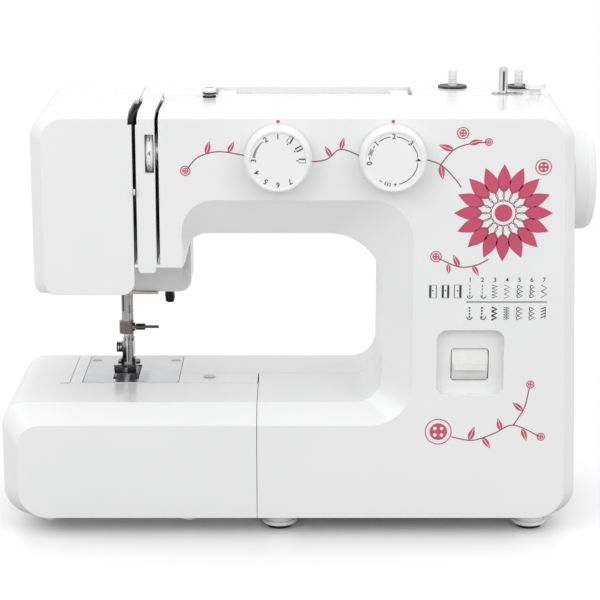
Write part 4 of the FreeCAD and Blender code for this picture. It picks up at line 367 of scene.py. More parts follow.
def repeatTree():
    # Count copies, each a Step and a Turn on from the last
    tree = bpy.data.node_groups.new("repeatMarks", "GeometryNodeTree")
    socket = tree.interface.new_socket
    socket("Geometry", in_out="INPUT", socket_type="NodeSocketGeometry")
    names = {}
    for label, kind in (("Count", "NodeSocketInt"), ("Step", "NodeSocketVector"),
                        ("Turn", "NodeSocketVector"), ("Surface", "NodeSocketMaterial")):
        names[label] = socket(label, in_out="INPUT", socket_type=kind).identifier
    socket("Geometry", in_out="OUTPUT", socket_type="NodeSocketGeometry")
    make, link = tree.nodes.new, tree.links.new
    given, result = make("NodeGroupInput"), make("NodeGroupOutput")
    line = make("GeometryNodeMeshLine")
    index, scaled = make("GeometryNodeInputIndex"), make("ShaderNodeVectorMath")
    scaled.operation = "SCALE"
    copies, solid = make("GeometryNodeInstanceOnPoints"), make("GeometryNodeRealizeInstances")
    coat = make("GeometryNodeSetMaterial")
    link(given.outputs["Count"], line.inputs["Count"])
    link(given.outputs["Step"], line.inputs["Offset"])
    link(given.outputs["Turn"], scaled.inputs[0])
    link(index.outputs["Index"], scaled.inputs["Scale"])
    link(line.outputs["Mesh"], copies.inputs["Points"])
    link(given.outputs["Geometry"], copies.inputs["Instance"])
    link(scaled.outputs["Vector"], copies.inputs["Rotation"])
    link(copies.outputs["Instances"], solid.inputs["Geometry"])
    link(solid.outputs["Geometry"], coat.inputs["Geometry"])
    link(given.outputs["Surface"], coat.inputs["Material"])
    link(coat.outputs["Geometry"], result.inputs["Geometry"])
    return tree, names


marksTree, marksInput = repeatTree()


def repeated(name, mesh, count, step=(0, 0, 0), turn=(0, 0, 0), surface="darkPrint"):
    source = bpy.data.objects.new(name + "Source", mesh)
    scene.collection.objects.link(source)
    change = source.modifiers.new("repeat", "NODES")
    change.node_group = marksTree
    change[marksInput["Count"]] = count
    change[marksInput["Step"]] = step
    change[marksInput["Turn"]] = turn
    change[marksInput["Surface"]] = surfaces[surface]
    graph = bpy.context.evaluated_depsgraph_get()
    plain = bpy.data.meshes.new_from_object(source.evaluated_get(graph))
    source.modifiers.remove(change)
    bpy.data.objects.remove(source)
    plain.name = name
    return plain


# printing on the front: outlines are drawn in millimetres across and up, then laid on the surface

printLift = 0.00005  # metres over the surface
castFrom = -0.2  # metres, in front of the machine


def skinOf(node):
    mesh = nodes[node].data
    return BVHTree.FromPolygons([v.co for v in mesh.vertices], [p.vertices for p in mesh.polygons])


def settle(mesh, skin, lift=printLift):
    for corner in mesh.vertices:
        hit = skin.ray_cast(Vector((corner.co.x, castFrom, corner.co.z)), Vector((0, 1, 0)))[0]
        if hit is not None:
            corner.co.y = hit.y - lift
    mesh.update()
    return mesh


def addPrint(name, meshes, skin, body, surface, lift=printLift):
    return addPiece(name, settle(joined(name, meshes), skin, lift), body, surface)


def shapeMesh(outlines):
    # filled outlines of (across, up) points, run so that they face the front
    points, faces = [], []
    for outline in outlines:
        area = sum(a[0] * b[1] - b[0] * a[1] for a, b in zip(outline, outline[1:] + outline[:1]))
        if area < 0:
            outline = outline[::-1]
        faces.append(tuple(range(len(points), len(points) + len(outline))))
        points += [(x * mm, 0, z * mm) for x, z in outline]
    return meshOf("shape", points, faces)


def strokeMesh(path, width, closed=False):
    points, faces = [], []
    count = len(path)
    for i, (x, z) in enumerate(path):
        if closed:
            before, after = path[i - 1], path[(i + 1) % count]
        else:
            before, after = path[max(i - 1, 0)], path[min(i + 1, count - 1)]
        run = Vector((after[0] - before[0], after[1] - before[1])).normalized()
        half = (width(i / (count - 1)) if callable(width) else width) / 2
        points.append(((x - run.y * half) * mm, 0, (z + run.x * half) * mm))
        points.append(((x + run.y * half) * mm, 0, (z - run.x * half) * mm))
    for i in range(count if closed else count - 1):
        a, b = 2 * i, 2 * ((i + 1) % count)
        faces.append((a, a + 1, b + 1, b))
    return meshOf("stroke", points, faces)


def disc(x, z, radius, steps=28):
    return [(x + radius * math.cos(2 * math.pi * i / steps), z + radius * math.sin(2 * math.pi * i / steps))
            for i in range(steps)]


def arc(x, z, radius, start, stop, steps=40):
    turn = [math.radians(start + (stop - start) * i / steps) for i in range(steps + 1)]
    return [(x + radius * math.cos(a), z + radius * math.sin(a)) for a in turn]


def smoothPath(knots, steps=14):
    # smooth line through the knots
    path = []
    for i in range(len(knots) - 1):
        a, b = Vector(knots[max(i - 1, 0)]), Vector(knots[i])
        c, d = Vector(knots[i + 1]), Vector(knots[min(i + 2, len(knots) - 1)])
        for k in range(steps):
            t = k / steps
            path.append(tuple(0.5 * (2 * b + (c - a) * t + (2 * a - 5 * b + 4 * c - d) * t * t
                                     + (3 * b - a - 3 * c + d) * t ** 3)))
    return path + [knots[-1]]


figureScale = 1.4  # font size over the height of a figure


def numeralMesh(text, height, x, z, turn=0.0, weight=0.0):
    curve = bpy.data.curves.new("numeral", "FONT")
    curve.body = text
    curve.size = height * mm * figureScale
    curve.align_x = "CENTER"
    curve.align_y = "CENTER"
    curve.resolution_u = 3
    curve.offset = weight * mm
    holder = bpy.data.objects.new("numeral", curve)
    scene.collection.objects.link(holder)
    graph = bpy.context.evaluated_depsgraph_get()
    mesh = bpy.data.meshes.new_from_object(holder.evaluated_get(graph))
    bpy.data.objects.remove(holder)
    mesh.transform(Matrix.Translation((x * mm, 0, z * mm)) @ Matrix.Rotation(math.radians(-turn), 4, "Y")
                   @ Matrix.Rotation(math.radians(90), 4, "X"))
    return mesh


frontSkin = skinOf("front_cover")


# dials: marks round the face, the setting dots over them

dialMarks = dict(selector=(-14.0, 257.2), length=(59.4, 257.2), ring=15.4, figure=3.4, weight=0.09,
                 dotRise=23.2, dot=1.15)
# angles round the dial in degrees; buttonhole signs are an angle and the places of their bars
selectorSigns = dict(numbers=(90, 120, 180, 210, 240, 270, 300), hole=(2.6, 4.2), holeLine=0.42,
                     holes=((60, (-0.9,)), (30, (-1.0, 1.0)), (0, (1.0,))), bar=(0.8, 4.0), tag=0.9,
                     tagInset=3.2, wedge=(127, 173), wedgeWide=(0.5, 1.9))
lengthSigns = dict(numbers=(("0", 186), ("1", 135), ("2", 90), ("3", 46), ("4", 2)), line=0.52,
                   runs=((98, 128), (52, 83), (9, 39), (-76, -5), (142, 149), (171, 178)),
                   hole=160, holeFrames=((4.4, 1.9, 0.35), (3.2, 0.6, 0.4)), plus=-86, minus=-122,
                   sign=(2.0, 0.5), ticks=(-98, -104, -110), tick=(0.6, 2.4))


def ringNumeral(text, centre, angle):
    x = centre[0] + dialMarks["ring"] * math.cos(math.radians(angle))
    z = centre[1] + dialMarks["ring"] * math.sin(math.radians(angle))
    return numeralMesh(text, dialMarks["figure"], x, z, angle - 90, dialMarks["weight"])


def ringBox(centre, angle, wide, high, shift=0.0, inset=0.0):
    # small upright frame on the ring, turned to point outwards
    a = math.radians(angle)
    out, side = Vector((math.cos(a), math.sin(a))), Vector((-math.sin(a), math.cos(a)))
    middle = Vector(centre) + out * (dialMarks["ring"] - inset) + side * shift
    return [tuple(middle + side * u * wide / 2 + out * v * high / 2)
            for u, v in ((1, 1), (-1, 1), (-1, -1), (1, -1))]


def makeSelectorMarks():
    s, centre = selectorSigns, dialMarks["selector"]
    skin = skinOf("selector_dial")
    figures = [ringNumeral(str(i + 1), centre, angle) for i, angle in enumerate(s["numbers"])]
    for angle, bars in s["holes"]:
        figures.append(strokeMesh(ringBox(centre, angle, *s["hole"]), s["holeLine"], closed=True))
        figures += [shapeMesh([ringBox(centre, angle, *s["bar"], shift)]) for shift in bars]
        figures.append(shapeMesh([ringBox(centre, angle, s["tag"], s["tag"], inset=s["tagInset"])]))
    addPrint("selectorFigures", figures, skin, "selector", "darkPrint")
    thin, thick = s["wedgeWide"]
    wedge = strokeMesh(arc(*centre, dialMarks["ring"], *s["wedge"]), lambda t: thin + (thick - thin) * t)
    addPrint("widthWedge", [wedge], skin, "selector", "greyPrint")


def makeLengthMarks():
    s, centre = lengthSigns, dialMarks["length"]
    figures = [ringNumeral(text, centre, angle) for text, angle in s["numbers"]]
    figures += [strokeMesh(arc(*centre, dialMarks["ring"], *run, 20), s["line"]) for run in s["runs"]]
    figures += [strokeMesh(ringBox(centre, s["hole"], wide, high), line, closed=True)
                for wide, high, line in s["holeFrames"]]
    flat, upright = s["sign"], s["sign"][::-1]
    signs = [(s["plus"], flat), (s["plus"], upright), (s["minus"], flat)]
    signs += [(angle, s["tick"]) for angle in s["ticks"]]
    figures += [shapeMesh([ringBox(centre, angle, *size)]) for angle, size in signs]
    addPrint("lengthFigures", figures, skinOf("length_dial"), "stitch_length", "darkPrint")


def makeSettingDots():
    centres = [dialMarks[which] for which in ("selector", "length")]
    dots = shapeMesh([disc(x, z + dialMarks["dotRise"], dialMarks["dot"]) for x, z in centres])
    addPrint("settingDots", [dots], frontSkin, "housing", "rosePrint")


makeSelectorMarks()
makeLengthMarks()
makeSettingDots()
print("dials marked")


# stitch chart: seven numbered columns of stitches in two rows, a rule between them and three buttonholes
# zigzags: column, row, shift across, wide, drop of a stitch, count, weight of the line
# dashes: column, row, shift across, shift down, long, pitch, count, wide
# hooks: column, row, shift across, shift down, weight of the line
# buttonholes: place across, places of the bars in it

chart = dict(first=110.5, pitch=8.02, columns=7, rows=(173.4, 158.6), figures=176.7, figure=3.0, weight=0.07,
             line=0.56, rule=162.0, ruleOver=2.2, ruleWeight=1.2,
             zigzags=((2, 0, 0.0, 3.4, 2.2, 4, 1.0), (2, 1, 0.0, 3.2, 2.9, 3, 2.2),
                      (3, 0, 0.0, 3.6, 3.0, 3, 0.7), (3, 1, -0.8, 2.2, 1.7, 5, 0.8),
                      (3, 1, 0.8, 2.2, 1.7, 5, 0.8), (4, 0, 0.5, 3.4, 2.9, 3, 1.0),
                      (4, 1, 0.5, 3.6, 2.9, 3, 1.0), (5, 0, 0.5, 2.8, 2.9, 3, 1.0),
                      (5, 1, 0.5, 3.0, 2.9, 3, 1.0), (6, 0, 0.0, 3.6, 4.2, 2, 1.0)),
             dashes=((0, 0, 0.0, 0.0, 1.5, 2.2, 4, 0.56), (1, 0, 0.0, 0.0, 1.5, 2.2, 4, 0.56),
                     (0, 1, 0.0, 0.0, 1.1, 2.0, 4, 1.1), (1, 1, 0.0, 0.0, 1.1, 2.0, 4, 1.1),
                     (4, 0, -1.3, 0.6, 1.7, 2.9, 3, 0.672), (4, 1, -1.4, 0.6, 1.7, 2.9, 3, 0.672),
                     (5, 0, -1.0, 0.6, 1.7, 2.9, 3, 0.672), (5, 1, -1.1, 0.6, 1.7, 2.9, 3, 0.672)),
             hooks=((0, 0, 0.0, 7.2, 1.0), (0, 1, 0.0, 6.6, 1.3), (1, 0, 0.9, 7.2, 1.0),
                    (1, 1, 0.9, 6.6, 1.3)), hookRadius=1.7,
             comb=(6, 1), tooth=((-1.6, -1.2), (1.7, 0.0), (1.0, -1.8)), teeth=4, toothPitch=2.0,
             toothWeight=1.3,
             buttonholes=((86.4, (-1.5,)), (94.6, (-1.6, 1.6)), (102.6, (1.5,))), holeUp=169.0,
             hole=(2.2, 4.3), bar=(0.55, 4.0), eye=(-0.1, 0.6, 0.5))


def downColumn(mark, x, top, pitch, count):
    # one mark, repeated down its column
    return placed(repeated("stitches", mark, count, (0, 0, -pitch * mm)), x, 0, top)


def makeStitches(columns, rows):
    line, marks = chart["line"], []
    for column, row, shift, wide, drop, count, weight in chart["zigzags"]:
        stitch = strokeMesh([(-wide / 2, 0), (wide / 2, -drop / 2), (-wide / 2, -drop)], line * weight)
        marks.append(downColumn(stitch, columns[column] + shift, rows[row], drop, count))
    for column, row, shift, down, long, pitch, count, wide in chart["dashes"]:
        dash = shapeMesh([rectangle(-wide / 2, wide / 2, -long, 0)])
        marks.append(downColumn(dash, columns[column] + shift, rows[row] - down, pitch, count))
    for column, row, shift, down, weight in chart["hooks"]:
        bend = arc(columns[column] + shift, rows[row] - down, chart["hookRadius"], 180, 360, 12)
        marks.append(strokeMesh(bend, line * weight))
    column, row = chart["comb"]
    tooth = strokeMesh(chart["tooth"], line * chart["toothWeight"])
    marks.append(downColumn(tooth, columns[column], rows[row], chart["toothPitch"], chart["teeth"]))
    return marks


def makeButtonholes():
    z, marks = chart["holeUp"], []
    (wide, high), (thick, long), (across, up, radius) = chart["hole"], chart["bar"], chart["eye"]
    for x, bars in chart["buttonholes"]:
        outline = rectangle(x - wide, x + wide, z - high, z + high)
        marks.append(strokeMesh(outline, chart["line"], closed=True))
        fills = [rectangle(x + bar - thick, x + bar + thick, z - long, z + long) for bar in bars]
        marks.append(shapeMesh(fills))
        marks.append(shapeMesh([disc(x + across, z + up, radius, 10)]))
    return marks


def makeChart():
    columns = [chart["first"] + chart["pitch"] * i for i in range(chart["columns"])]
    marks = [numeralMesh(str(i + 1), chart["figure"], x, chart["figures"], weight=chart["weight"])
             for i, x in enumerate(columns)]
    ends = (columns[0] - chart["ruleOver"], columns[-1] + chart["ruleOver"])
    marks.append(strokeMesh([(x, chart["rule"]) for x in ends], chart["line"] * chart["ruleWeight"]))
    marks += makeStitches(columns, chart["rows"]) + makeButtonholes()
    addPrint("stitchChart", marks, frontSkin, "housing", "darkPrint")


makeChart()
print("stitch chart printed")


# rose print: a dahlia, leafy stems and buttons
# leaves: place across and up, angle, long; buttons: place across and up, radius

rose = dict(centre=(131.0, 221.0), petals=16, petal=(13.32, 32.0, 4.5), inner=(8.0, 18.5, 2.9), innerLine=0.5,
            fullness=0.75, heart=5.76, eye=8.0, eyeLine=0.45)
sprigs = dict(stemLine=0.75, leafSlim=0.2, vein=(0.12, 0.5, 0.86), veinLine=0.35,
              stems=([(-72, 250), (-65, 257.5), (-52, 261), (-35, 258.5)],
                     [(7, 254.5), (17, 256), (26, 262.5), (39, 258)],
                     [(80.5, 256), (90, 252.5), (98, 245), (103.5, 238)],
                     [(90, 252.5), (98, 262), (108, 266), (119, 267)],
                     [(122, 190.5), (114, 186.5), (103, 185.5), (90, 191)],
                     [(100, 70), (114, 67.5), (128, 72), (141, 78), (158, 70.5)],
                     [(141, 78), (148, 90), (151, 104)]),
              leaves=((-60, 259.4, 75, 9), (-46, 260.6, 60, 8), (20, 257.6, 120, 8), (26, 262.5, 75, 8),
                      (90, 252.5, -80, 10), (98, 262, 160, 10), (108, 266, 15, 9), (112, 186.3, -60, 8),
                      (103, 185.5, 115, 9), (96, 187.5, -85, 7), (112, 67.6, 70, 10), (121, 69.3, -55, 9),
                      (133, 74.2, 105, 9), (147, 75.5, -70, 9), (147, 88, 140, 9)))
buttons = dict(line=0.7, face=0.68, holeOut=0.26, hole=0.14,
               places=((-73.5, 248.6, 3.0), (120.5, 267.2, 2.2), (88, 192.3, 3.4), (159.5, 70, 2.4),
                       (151.6, 106, 2.4), (91.5, 73.5, 8.6), (104, 273, 3.6), (156, 251, 5.0)))
stemLift, openingLift = 0.00007, 0.00009  # metres, so that the three layers of print don't meet


def petalOutline(start, stop, wide, steps=10):
    side = [(start + (stop - start) * i / steps, wide * math.sin(math.pi * (i / steps) ** rose["fullness"]))
            for i in range(steps + 1)]
    return side + [(x, -z) for x, z in side[-2:0:-1]]


def leafMeshes(x, z, angle, long):
    a = math.radians(angle)
    shape = [(x + u * math.cos(a) - v * math.sin(a), z + u * math.sin(a) + v * math.cos(a))
             for u, v in petalOutline(0, long, long * sprigs["leafSlim"])]
    vein = [(x + u * long * math.cos(a), z + u * long * math.sin(a)) for u in sprigs["vein"]]
    return shapeMesh([shape]), strokeMesh(vein, sprigs["veinLine"])


def buttonMeshes(x, z, radius):
    ring = strokeMesh(disc(x, z, radius, 32), buttons["line"], closed=True)
    face = shapeMesh([disc(x, z, radius * buttons["face"])])
    out = radius * buttons["holeOut"]
    holes = [disc(x + out * u, z + out * v, radius * buttons["hole"], 12)
             for u, v in ((1, 1), (-1, 1), (-1, -1), (1, -1))]
    return [ring, face], shapeMesh(holes)


def makeRosePrint():
    x, z = rose["centre"]
    step = 2 * math.pi / rose["petals"]
    petal = shapeMesh([petalOutline(*rose["petal"])])
    innerPetal = strokeMesh(petalOutline(*rose["inner"]), rose["innerLine"], closed=True)
    outer = repeated("petals", petal, rose["petals"], turn=(0, step, 0))
    inner = repeated("innerPetals", innerPetal, rose["petals"], turn=(0, step, 0))
    inner.transform(Matrix.Rotation(step / 2, 4, "Y"))
    fills = [placed(outer, x, 0, z), shapeMesh([disc(x, z, rose["heart"])])]
    lines = [placed(inner, x, 0, z), strokeMesh(disc(x, z, rose["eye"], 40), rose["eyeLine"], closed=True)]
    lines += [strokeMesh(smoothPath(stem), sprigs["stemLine"]) for stem in sprigs["stems"]]
    openings = []
    for row in sprigs["leaves"]:
        leaf, vein = leafMeshes(*row)
        fills.append(leaf)
        openings.append(vein)
    for row in buttons["places"]:
        shapes, holes = buttonMeshes(*row)
        fills += shapes
        openings.append(holes)
    addPrint("rosePetals", fills, frontSkin, "housing", "rosePrint")
    addPrint("roseStems", lines, frontSkin, "housing", "stemPrint", stemLift)
    addPrint("roseOpenings", openings, frontSkin, "housing", "shellPlastic", openingLift)


makeRosePrint()
print("rose print done")


# tension numbers round the rim of the wheel, seen in the window

tension = dict(across=-96.6, back=-46.0, up=259.5, radius=15.8, rise=0.04, figure=3.2, every=34.0, count=10,
               front=4)


def makeTensionNumbers():
    t, figures = tension, []
    for i in range(t["count"]):
        mesh = placed(numeralMesh(str(i), t["figure"], 0, 0), 0, -(t["radius"] + t["rise"]), 0)
        mesh.transform(Matrix.Rotation(math.radians((i - t["front"]) * t["every"]), 4, "X"))
        figures.append(placed(mesh, t["across"], t["back"], t["up"]))
    addPiece("tensionNumbers", joined("tensionNumbers", figures), "tension", "darkPrint")


makeTensionNumbers()


# needle plate: seam guide ticks

plateLines = dict(first=(-110.5, -1.0), pitch=4.2, count=7, wide=0.35, long=5.5, up=90.0)


def makePlateLines():
    p = plateLines
    half = p["wide"] / 2
    corners = [(x * mm, y * mm, printLift) for x, y in rectangle(0, p["long"], -half, half)]
    tick = meshOf("tick", corners, [(0, 1, 2, 3)])
    marks = repeated("plateTicks", tick, p["count"], (0, p["pitch"] * mm, 0))
    addPiece("plateTicks", placed(marks, *p["first"], p["up"]), "housing")


makePlateLines()
print("numbers and ticks printed")


# spool pins: grip rings up the stem

pinRings = dict(radius=2.95, thick=0.4, bite=0.3, shoulder=(0.6, 0.5), pitch=2.6, count=4, base=289.0)


def makePinRings():
    p = pinRings
    r, t, root, (out, up) = p["radius"], p["thick"], p["radius"] - p["bite"], p["shoulder"]
    profile = [(root, -t), (r + t * out, -t * up), (r + t, 0), (r + t * out, t * up), (root, t), (root, -t)]
    for name, node, body in (("leftPinRings", "left_spool_pin", "left_spool"),
                             ("rightPinRings", "right_spool_pin", "right_spool")):
        low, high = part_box(node)
        rings = repeated(name, latheMesh("pinRing", profile, 32), p["count"], (0, 0, p["pitch"] * mm),
                         surface="leverPlastic")
        rings.transform(Matrix.Translation(((low.x + high.x) / 2, (low.y + high.y) / 2, p["base"] * mm)))
        addPiece(name, rings, body)


makePinRings()


# thread slots: black lining beside the take up lever and the tension discs, a dark sheet that stands in for
# the shade inside the slots (painted shade)

slotShadeLining = dict(left=(-107.46, -107.3), right=(-93.5, -93.3), front=-59.2, back=-20.0, bevelEnd=-46.8,
                  low=186.0, crown=268.0, top=281.5, postLow=253.6, postHigh=265.4)


def makeSlotLining():
    s = slotShadeLining
    near, far, low = s["front"], s["back"], s["low"]
    upper = [(near, s["crown"]), (s["bevelEnd"], s["top"]), (far, s["top"])]
    walls = [prismMesh([(far, low), (near, low)] + upper, "X", *s["left"]),
             prismMesh(rectangle(far, near, low, s["postLow"]), "X", *s["right"]),
             prismMesh([(far, s["postHigh"]), (near, s["postHigh"])] + upper, "X", *s["right"])]
    # the black walls are painted shade: they darken the slots where only shade falls
    addPiece("slotShadeLining", joined("slotShadeLining", walls), "housing", "blackPlastic")


makeSlotLining()


# head underside: wall that closes the head beside the needle bar, tip of the tongue, lip of the bottom plate

headWall = dict(left=-117.0, seam=-107.3, right=-80.6, near=13.6, inner=15.2, far=19.95, low=151.05,
                high=187.0, bend=13.0)
tongueTip = dict(left=-104.6, right=-93.4, low=181.4, high=186.5, corner=1.6, cut=0.48, depth=(-61.9, -59.7))
plateLip = dict(outline=((-107.8, 12.0), (-97.5, 12.0), (-100.5, 19.65), (-107.8, 19.65)),
                rise=(149.0, 150.7))


def tipOutline():
    t = tongueTip
    low, corner, cut = t["low"], t["corner"], t["cut"]
    half = [(0, t["high"]), (0, low + corner), (cut, low + cut), (corner, low)]
    return [(t["left"] + a, b) for a, b in half] + [(t["right"] - a, b) for a, b in half[::-1]]


def makeHeadWall():
    h = headWall
    inset = h["right"] - h["bend"]
    bend = arc(inset, h["low"] + h["bend"], h["bend"], 0, -90, 16)
    panel = [(h["left"], h["high"]), (h["right"], h["high"])] + bend + [(h["left"], h["low"])]
    wall = [prismMesh(panel, "Y", h["near"], h["inner"]),
            boxMesh((h["seam"], h["inner"], h["low"]), (inset, h["far"], h["high"])),
            prismMesh(tipOutline(), "Y", *tongueTip["depth"])]
    addPiece("headWall", joined("headWall", wall), "housing", "shellPlastic")
    lip = prismMesh(plateLip["outline"], "Z", *plateLip["rise"])
    addPiece("plateLip", lip, "housing", "beigeSteel")


makeHeadWall()
print("head and slots lined")


# top: felt under the right spool pin

topDeck = 285.5
rightFelt = dict(centre=(152.1, 60.0), radius=10.0, hole=3.3, thick=1.5, edge=0.3)


def makeRightFelt():
    f = rightFelt
    hole, rim, thick, edge = f["hole"], f["radius"], f["thick"], f["edge"]
    profile = [(hole, 0), (rim, 0), (rim, thick - edge), (rim - edge, thick), (hole, thick), (hole, 0)]
    felt = latheMesh("rightFelt", profile)
    addPiece("rightFelt", placed(felt, *f["centre"], topDeck), "housing", "spoolFelt")


# top: plate round the winder spindle, dark strip down the spindle that paints the shade in its slot

winderPlate = dict(centre=(141.1, 28.0), half=(11.0, 6.3), hole=(6.7, 3.8), thick=0.5)
spindleSlotShade = dict(middle=138.1, wide=1.5, rise=(288.0, 301.0), strips=6)


def oblong(centre, half, steps=12):
    # stadium outline, the same number of points for each size
    x, y = centre
    run, r = half[0] - half[1], half[1]
    turn = [math.pi * (i / steps - 0.5) for i in range(steps + 1)]
    right = [(x + run + r * math.cos(a), y + r * math.sin(a)) for a in turn]
    return right + [(2 * x - a, 2 * y - b) for a, b in right]


def ringPlate(name, outer, inner, low, high):
    count = len(outer)
    points = [(x * mm, y * mm, z * mm) for z in (low, high) for line in (outer, inner) for x, y in line]
    a, b, c, d = (k * count for k in range(4))
    faces = []
    for i in range(count):
        n = (i + 1) % count
        faces += [(c + i, c + n, d + n, d + i), (a + n, a + i, b + i, b + n),
                  (a + i, a + n, c + n, c + i), (b + n, b + i, d + i, d + n)]
    return meshOf(name, points, faces)


def makeWinderTrim():
    p, s = winderPlate, spindleSlotShade
    plate = ringPlate("winderPlate", oblong(p["centre"], p["half"]), oblong(p["centre"], p["hole"]),
                      topDeck, topDeck + p["thick"])
    addPiece("winderPlate", plate, "housing", "groundSteel")
    half = s["wide"] / 2
    # dark print strip down the spindle: painted shade for the recess of its slot
    slot = shapeMesh(strips(s["middle"] - half, s["middle"] + half, *s["rise"], s["strips"]))
    skin = skinOf("winder_spindle")
    addPrint("spindleSlotShade", [slot], skin, "winder_spindle", "darkPrint")


# top: guide wire and winder tension post, at the places that the photograph shows

guideWire = dict(across=-91.2, front=-9.0, back=6.6, radius=0.6,
                 bend=((0, -0.5), (0, 1.6), (0.8, 2.9), (2.6, 3.5)))
winderPost = dict(centre=(-61.0, 12.6), disc=((0, 0), (4.5, 0), (4.7, 0.5), (4.5, 1.0), (0, 1.0)), discs=2,
                  discPitch=2.3, notch=((-2.4, -0.35, 6.3), (2.4, 0.35, 6.6)),
                  cap=((0, 0.5), (3.2, 0.5), (3.2, 3.0), (4.4, 3.3), (4.4, 5.4), (3.7, 6.2), (0, 6.5)))


def makeThreadGuides():
    g, p = guideWire, winderPost
    path = [(g["across"], g["front"] + a, topDeck + b) for a, b in g["bend"]]
    path += [(g["across"], g["back"] - a, topDeck + b) for a, b in g["bend"][::-1]]
    wire = addPiece("guideWire", tubeMesh(path, g["radius"]), "housing", "platedChrome")
    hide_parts("thread_guides")
    discs = repeated("postDiscs", latheMesh("postDisc", p["disc"]), p["discs"], (0, 0, p["discPitch"] * mm),
                     surface="blackPlastic")
    dark = joined("postDiscs", [discs, boxMesh(*p["notch"])])
    cap = latheMesh("winderPost", p["cap"])
    addPiece("postDiscs", placed(dark, *p["centre"], topDeck), "housing", "blackPlastic")
    addPiece("winderPost", placed(cap, *p["centre"], topDeck), "housing", "shellPlastic")


makeRightFelt()
makeWinderTrim()
makeThreadGuides()
print("top fittings added")


# needle group: turned up toes, ribs on the foot screw, dark flats on the needle bar

footToes = dict(across=-120.9, inner=1.5, outer=7.6, thick=1.1, flare=1.3,
                run=((12.0, 93.2), (9.6, 93.2), (7.4, 93.7), (5.4, 95.0), (4.0, 96.9), (3.3, 98.6)))
screwRibs = dict(place=(-128.7, 35.5, 105.0), radius=3.45, bite=0.2, rise=0.35, root=0.5, crest=0.3, count=3,
                 pitch=1.65)
barFlats = dict(strips=4, flats=((-123.3, -122.1, 135.0, 148.6), (-118.7, -118.0, 133.5, 139.5)))


def toeMesh(side):
    # four points at each step of the run: inner low, inner high, outer low, outer high
    t = footToes
    last = len(t["run"]) - 1
    points, faces = [], []
    for i, (y, z) in enumerate(t["run"]):
        for reach, lift in ((t["inner"], 0.0), (t["outer"], t["flare"] * (i / last) ** 2)):
            for rise in (0.0, t["thick"]):
                points.append(((t["across"] + side * reach) * mm, y * mm, (z + lift + rise) * mm))
    for a in range(0, 4 * last, 4):
        b = a + 4
        faces += [(a, a + 2, b + 2, b), (a + 1, b + 1, b + 3, a + 3), (a, b, b + 1, a + 1),
                  (a + 2, a + 3, b + 3, b + 2)]
    tip = 4 * last
    faces += [(0, 1, 3, 2), (tip, tip + 2, tip + 3, tip + 1)]
    return meshOf("toe", points, faces)


def makeFootTrim():
    toes = reworked(joined("footToes", [toeMesh(-1), toeMesh(1)]), outwards=True)
    addPiece("footToes", toes, "foot", "darkSteel")
    s = screwRibs
    low, high, root, crest = s["radius"] - s["bite"], s["radius"] + s["rise"], s["root"], s["crest"]
    rib = latheMesh("rib", [(low, -root), (high, -crest), (high, crest), (low, root), (low, -root)], 32)
    rib.transform(Matrix.Rotation(math.radians(90), 4, "Y"))
    ribs = repeated("footScrewRibs", rib, s["count"], (s["pitch"] * mm, 0, 0), surface="blackPlastic")
    addPiece("footScrewRibs", placed(ribs, *s["place"]), "presser")
    bars = [strip for flat in barFlats["flats"] for strip in strips(*flat, barFlats["strips"])]
    addPrint("barFlats", [shapeMesh(bars)], skinOf("needle_bar"), "needle_bar", "darkSteel")


makeFootTrim()


# presser lifter: the grip under the head is shorter and slimmer, and leans to the right

lifterGrip = dict(top=150.0, middle=-93.9, shrink=0.75, slim=0.76, lean=0.06)


def makeLifterGrip():
    g = lifterGrip
    top, middle = g["top"] * mm, g["middle"] * mm
    mesh = reworked(nodes["presser_lifter"].data.copy(), merge=True)
    for corner in mesh.vertices:
        below = top - corner.co.z
        if below > 0:
            corner.co.z = top - below * g["shrink"]
            corner.co.x = middle + (corner.co.x - middle) * g["slim"] + below * g["lean"]
    mesh.update()
    grip = addPiece("lifterGrip", mesh, "lifter", "blackPlastic")
    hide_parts("presser_lifter")


makeLifterGrip()
print("needle group trimmed")


# base: white bosses round the four rubber feet

footBoss = dict(first=(-13.9, -40.0), pitch=(169.5, 98.0),
                profile=((9.1, 2.7), (10.8, 2.7), (11.7, 3.3), (12.0, 5.45), (9.1, 5.45), (9.1, 2.7)))


def makeFootBosses():
    across, back = footBoss["pitch"]
    pair = repeated("footBossPair", latheMesh("footBoss", footBoss["profile"]), 2, (across * mm, 0, 0))
    bosses = repeated("footBosses", pair, 2, (0, back * mm, 0))
    addPiece("footBosses", placed(bosses, *footBoss["first"]), "housing", "shellPlastic")


makeFootBosses()


# extension table: three moulded feet under it

tableFeet = dict(places=((-169.0, -44.0), (-75.4, -44.0), (-169.0, 48.0)),
                 profile=((0, 6.4), (4.55, 6.4), (5.59, 6.9), (6.5, 8.0), (6.5, 11.6), (0, 11.6)))


def makeTableFeet():
    feet = [placed(latheMesh("tableFoot", tableFeet["profile"]), *place) for place in tableFeet["places"]]
    addPiece("tableFeet", joined("tableFeet", feet), "table", "shellPlastic")


makeTableFeet()


# extension table: lip that closes the groove over the rounded end of the free arm

tableLip = dict(edge=-164.8, top=89.97, low=83.0, middle=(-156.4, 82.0), radius=8.4, turn=(107.7, 174.0),
                depth=(-2.4, 66.9))


def makeTableLip():
    t = tableLip
    bend = arc(*t["middle"], t["radius"], *t["turn"], 16)
    outline = [(t["edge"], t["low"]), (t["edge"], t["top"]), (bend[0][0], t["top"])] + bend
    lip = prismMesh(outline, "Y", *t["depth"])
    addPiece("tableLip", lip, "table", "shellPlastic")


makeTableLip()
print("base and table trimmed")


# camera, floor and light

view = dict(place=(0.0, -1.300, 0.472), down=14.0, focal=1960.0, frame=600.0, sensor=36.0)


def makeCamera():
    data = bpy.data.cameras.new("photoView")
    data.sensor_width = view["sensor"]
    data.lens = view["sensor"] * view["focal"] / view["frame"]
    camera = bpy.data.objects.new("photoView", data)
    camera.location = view["place"]
    camera.rotation_euler = (math.radians(90 - view["down"]), 0, 0)
    scene.collection.objects.link(camera)
    scene.camera = camera


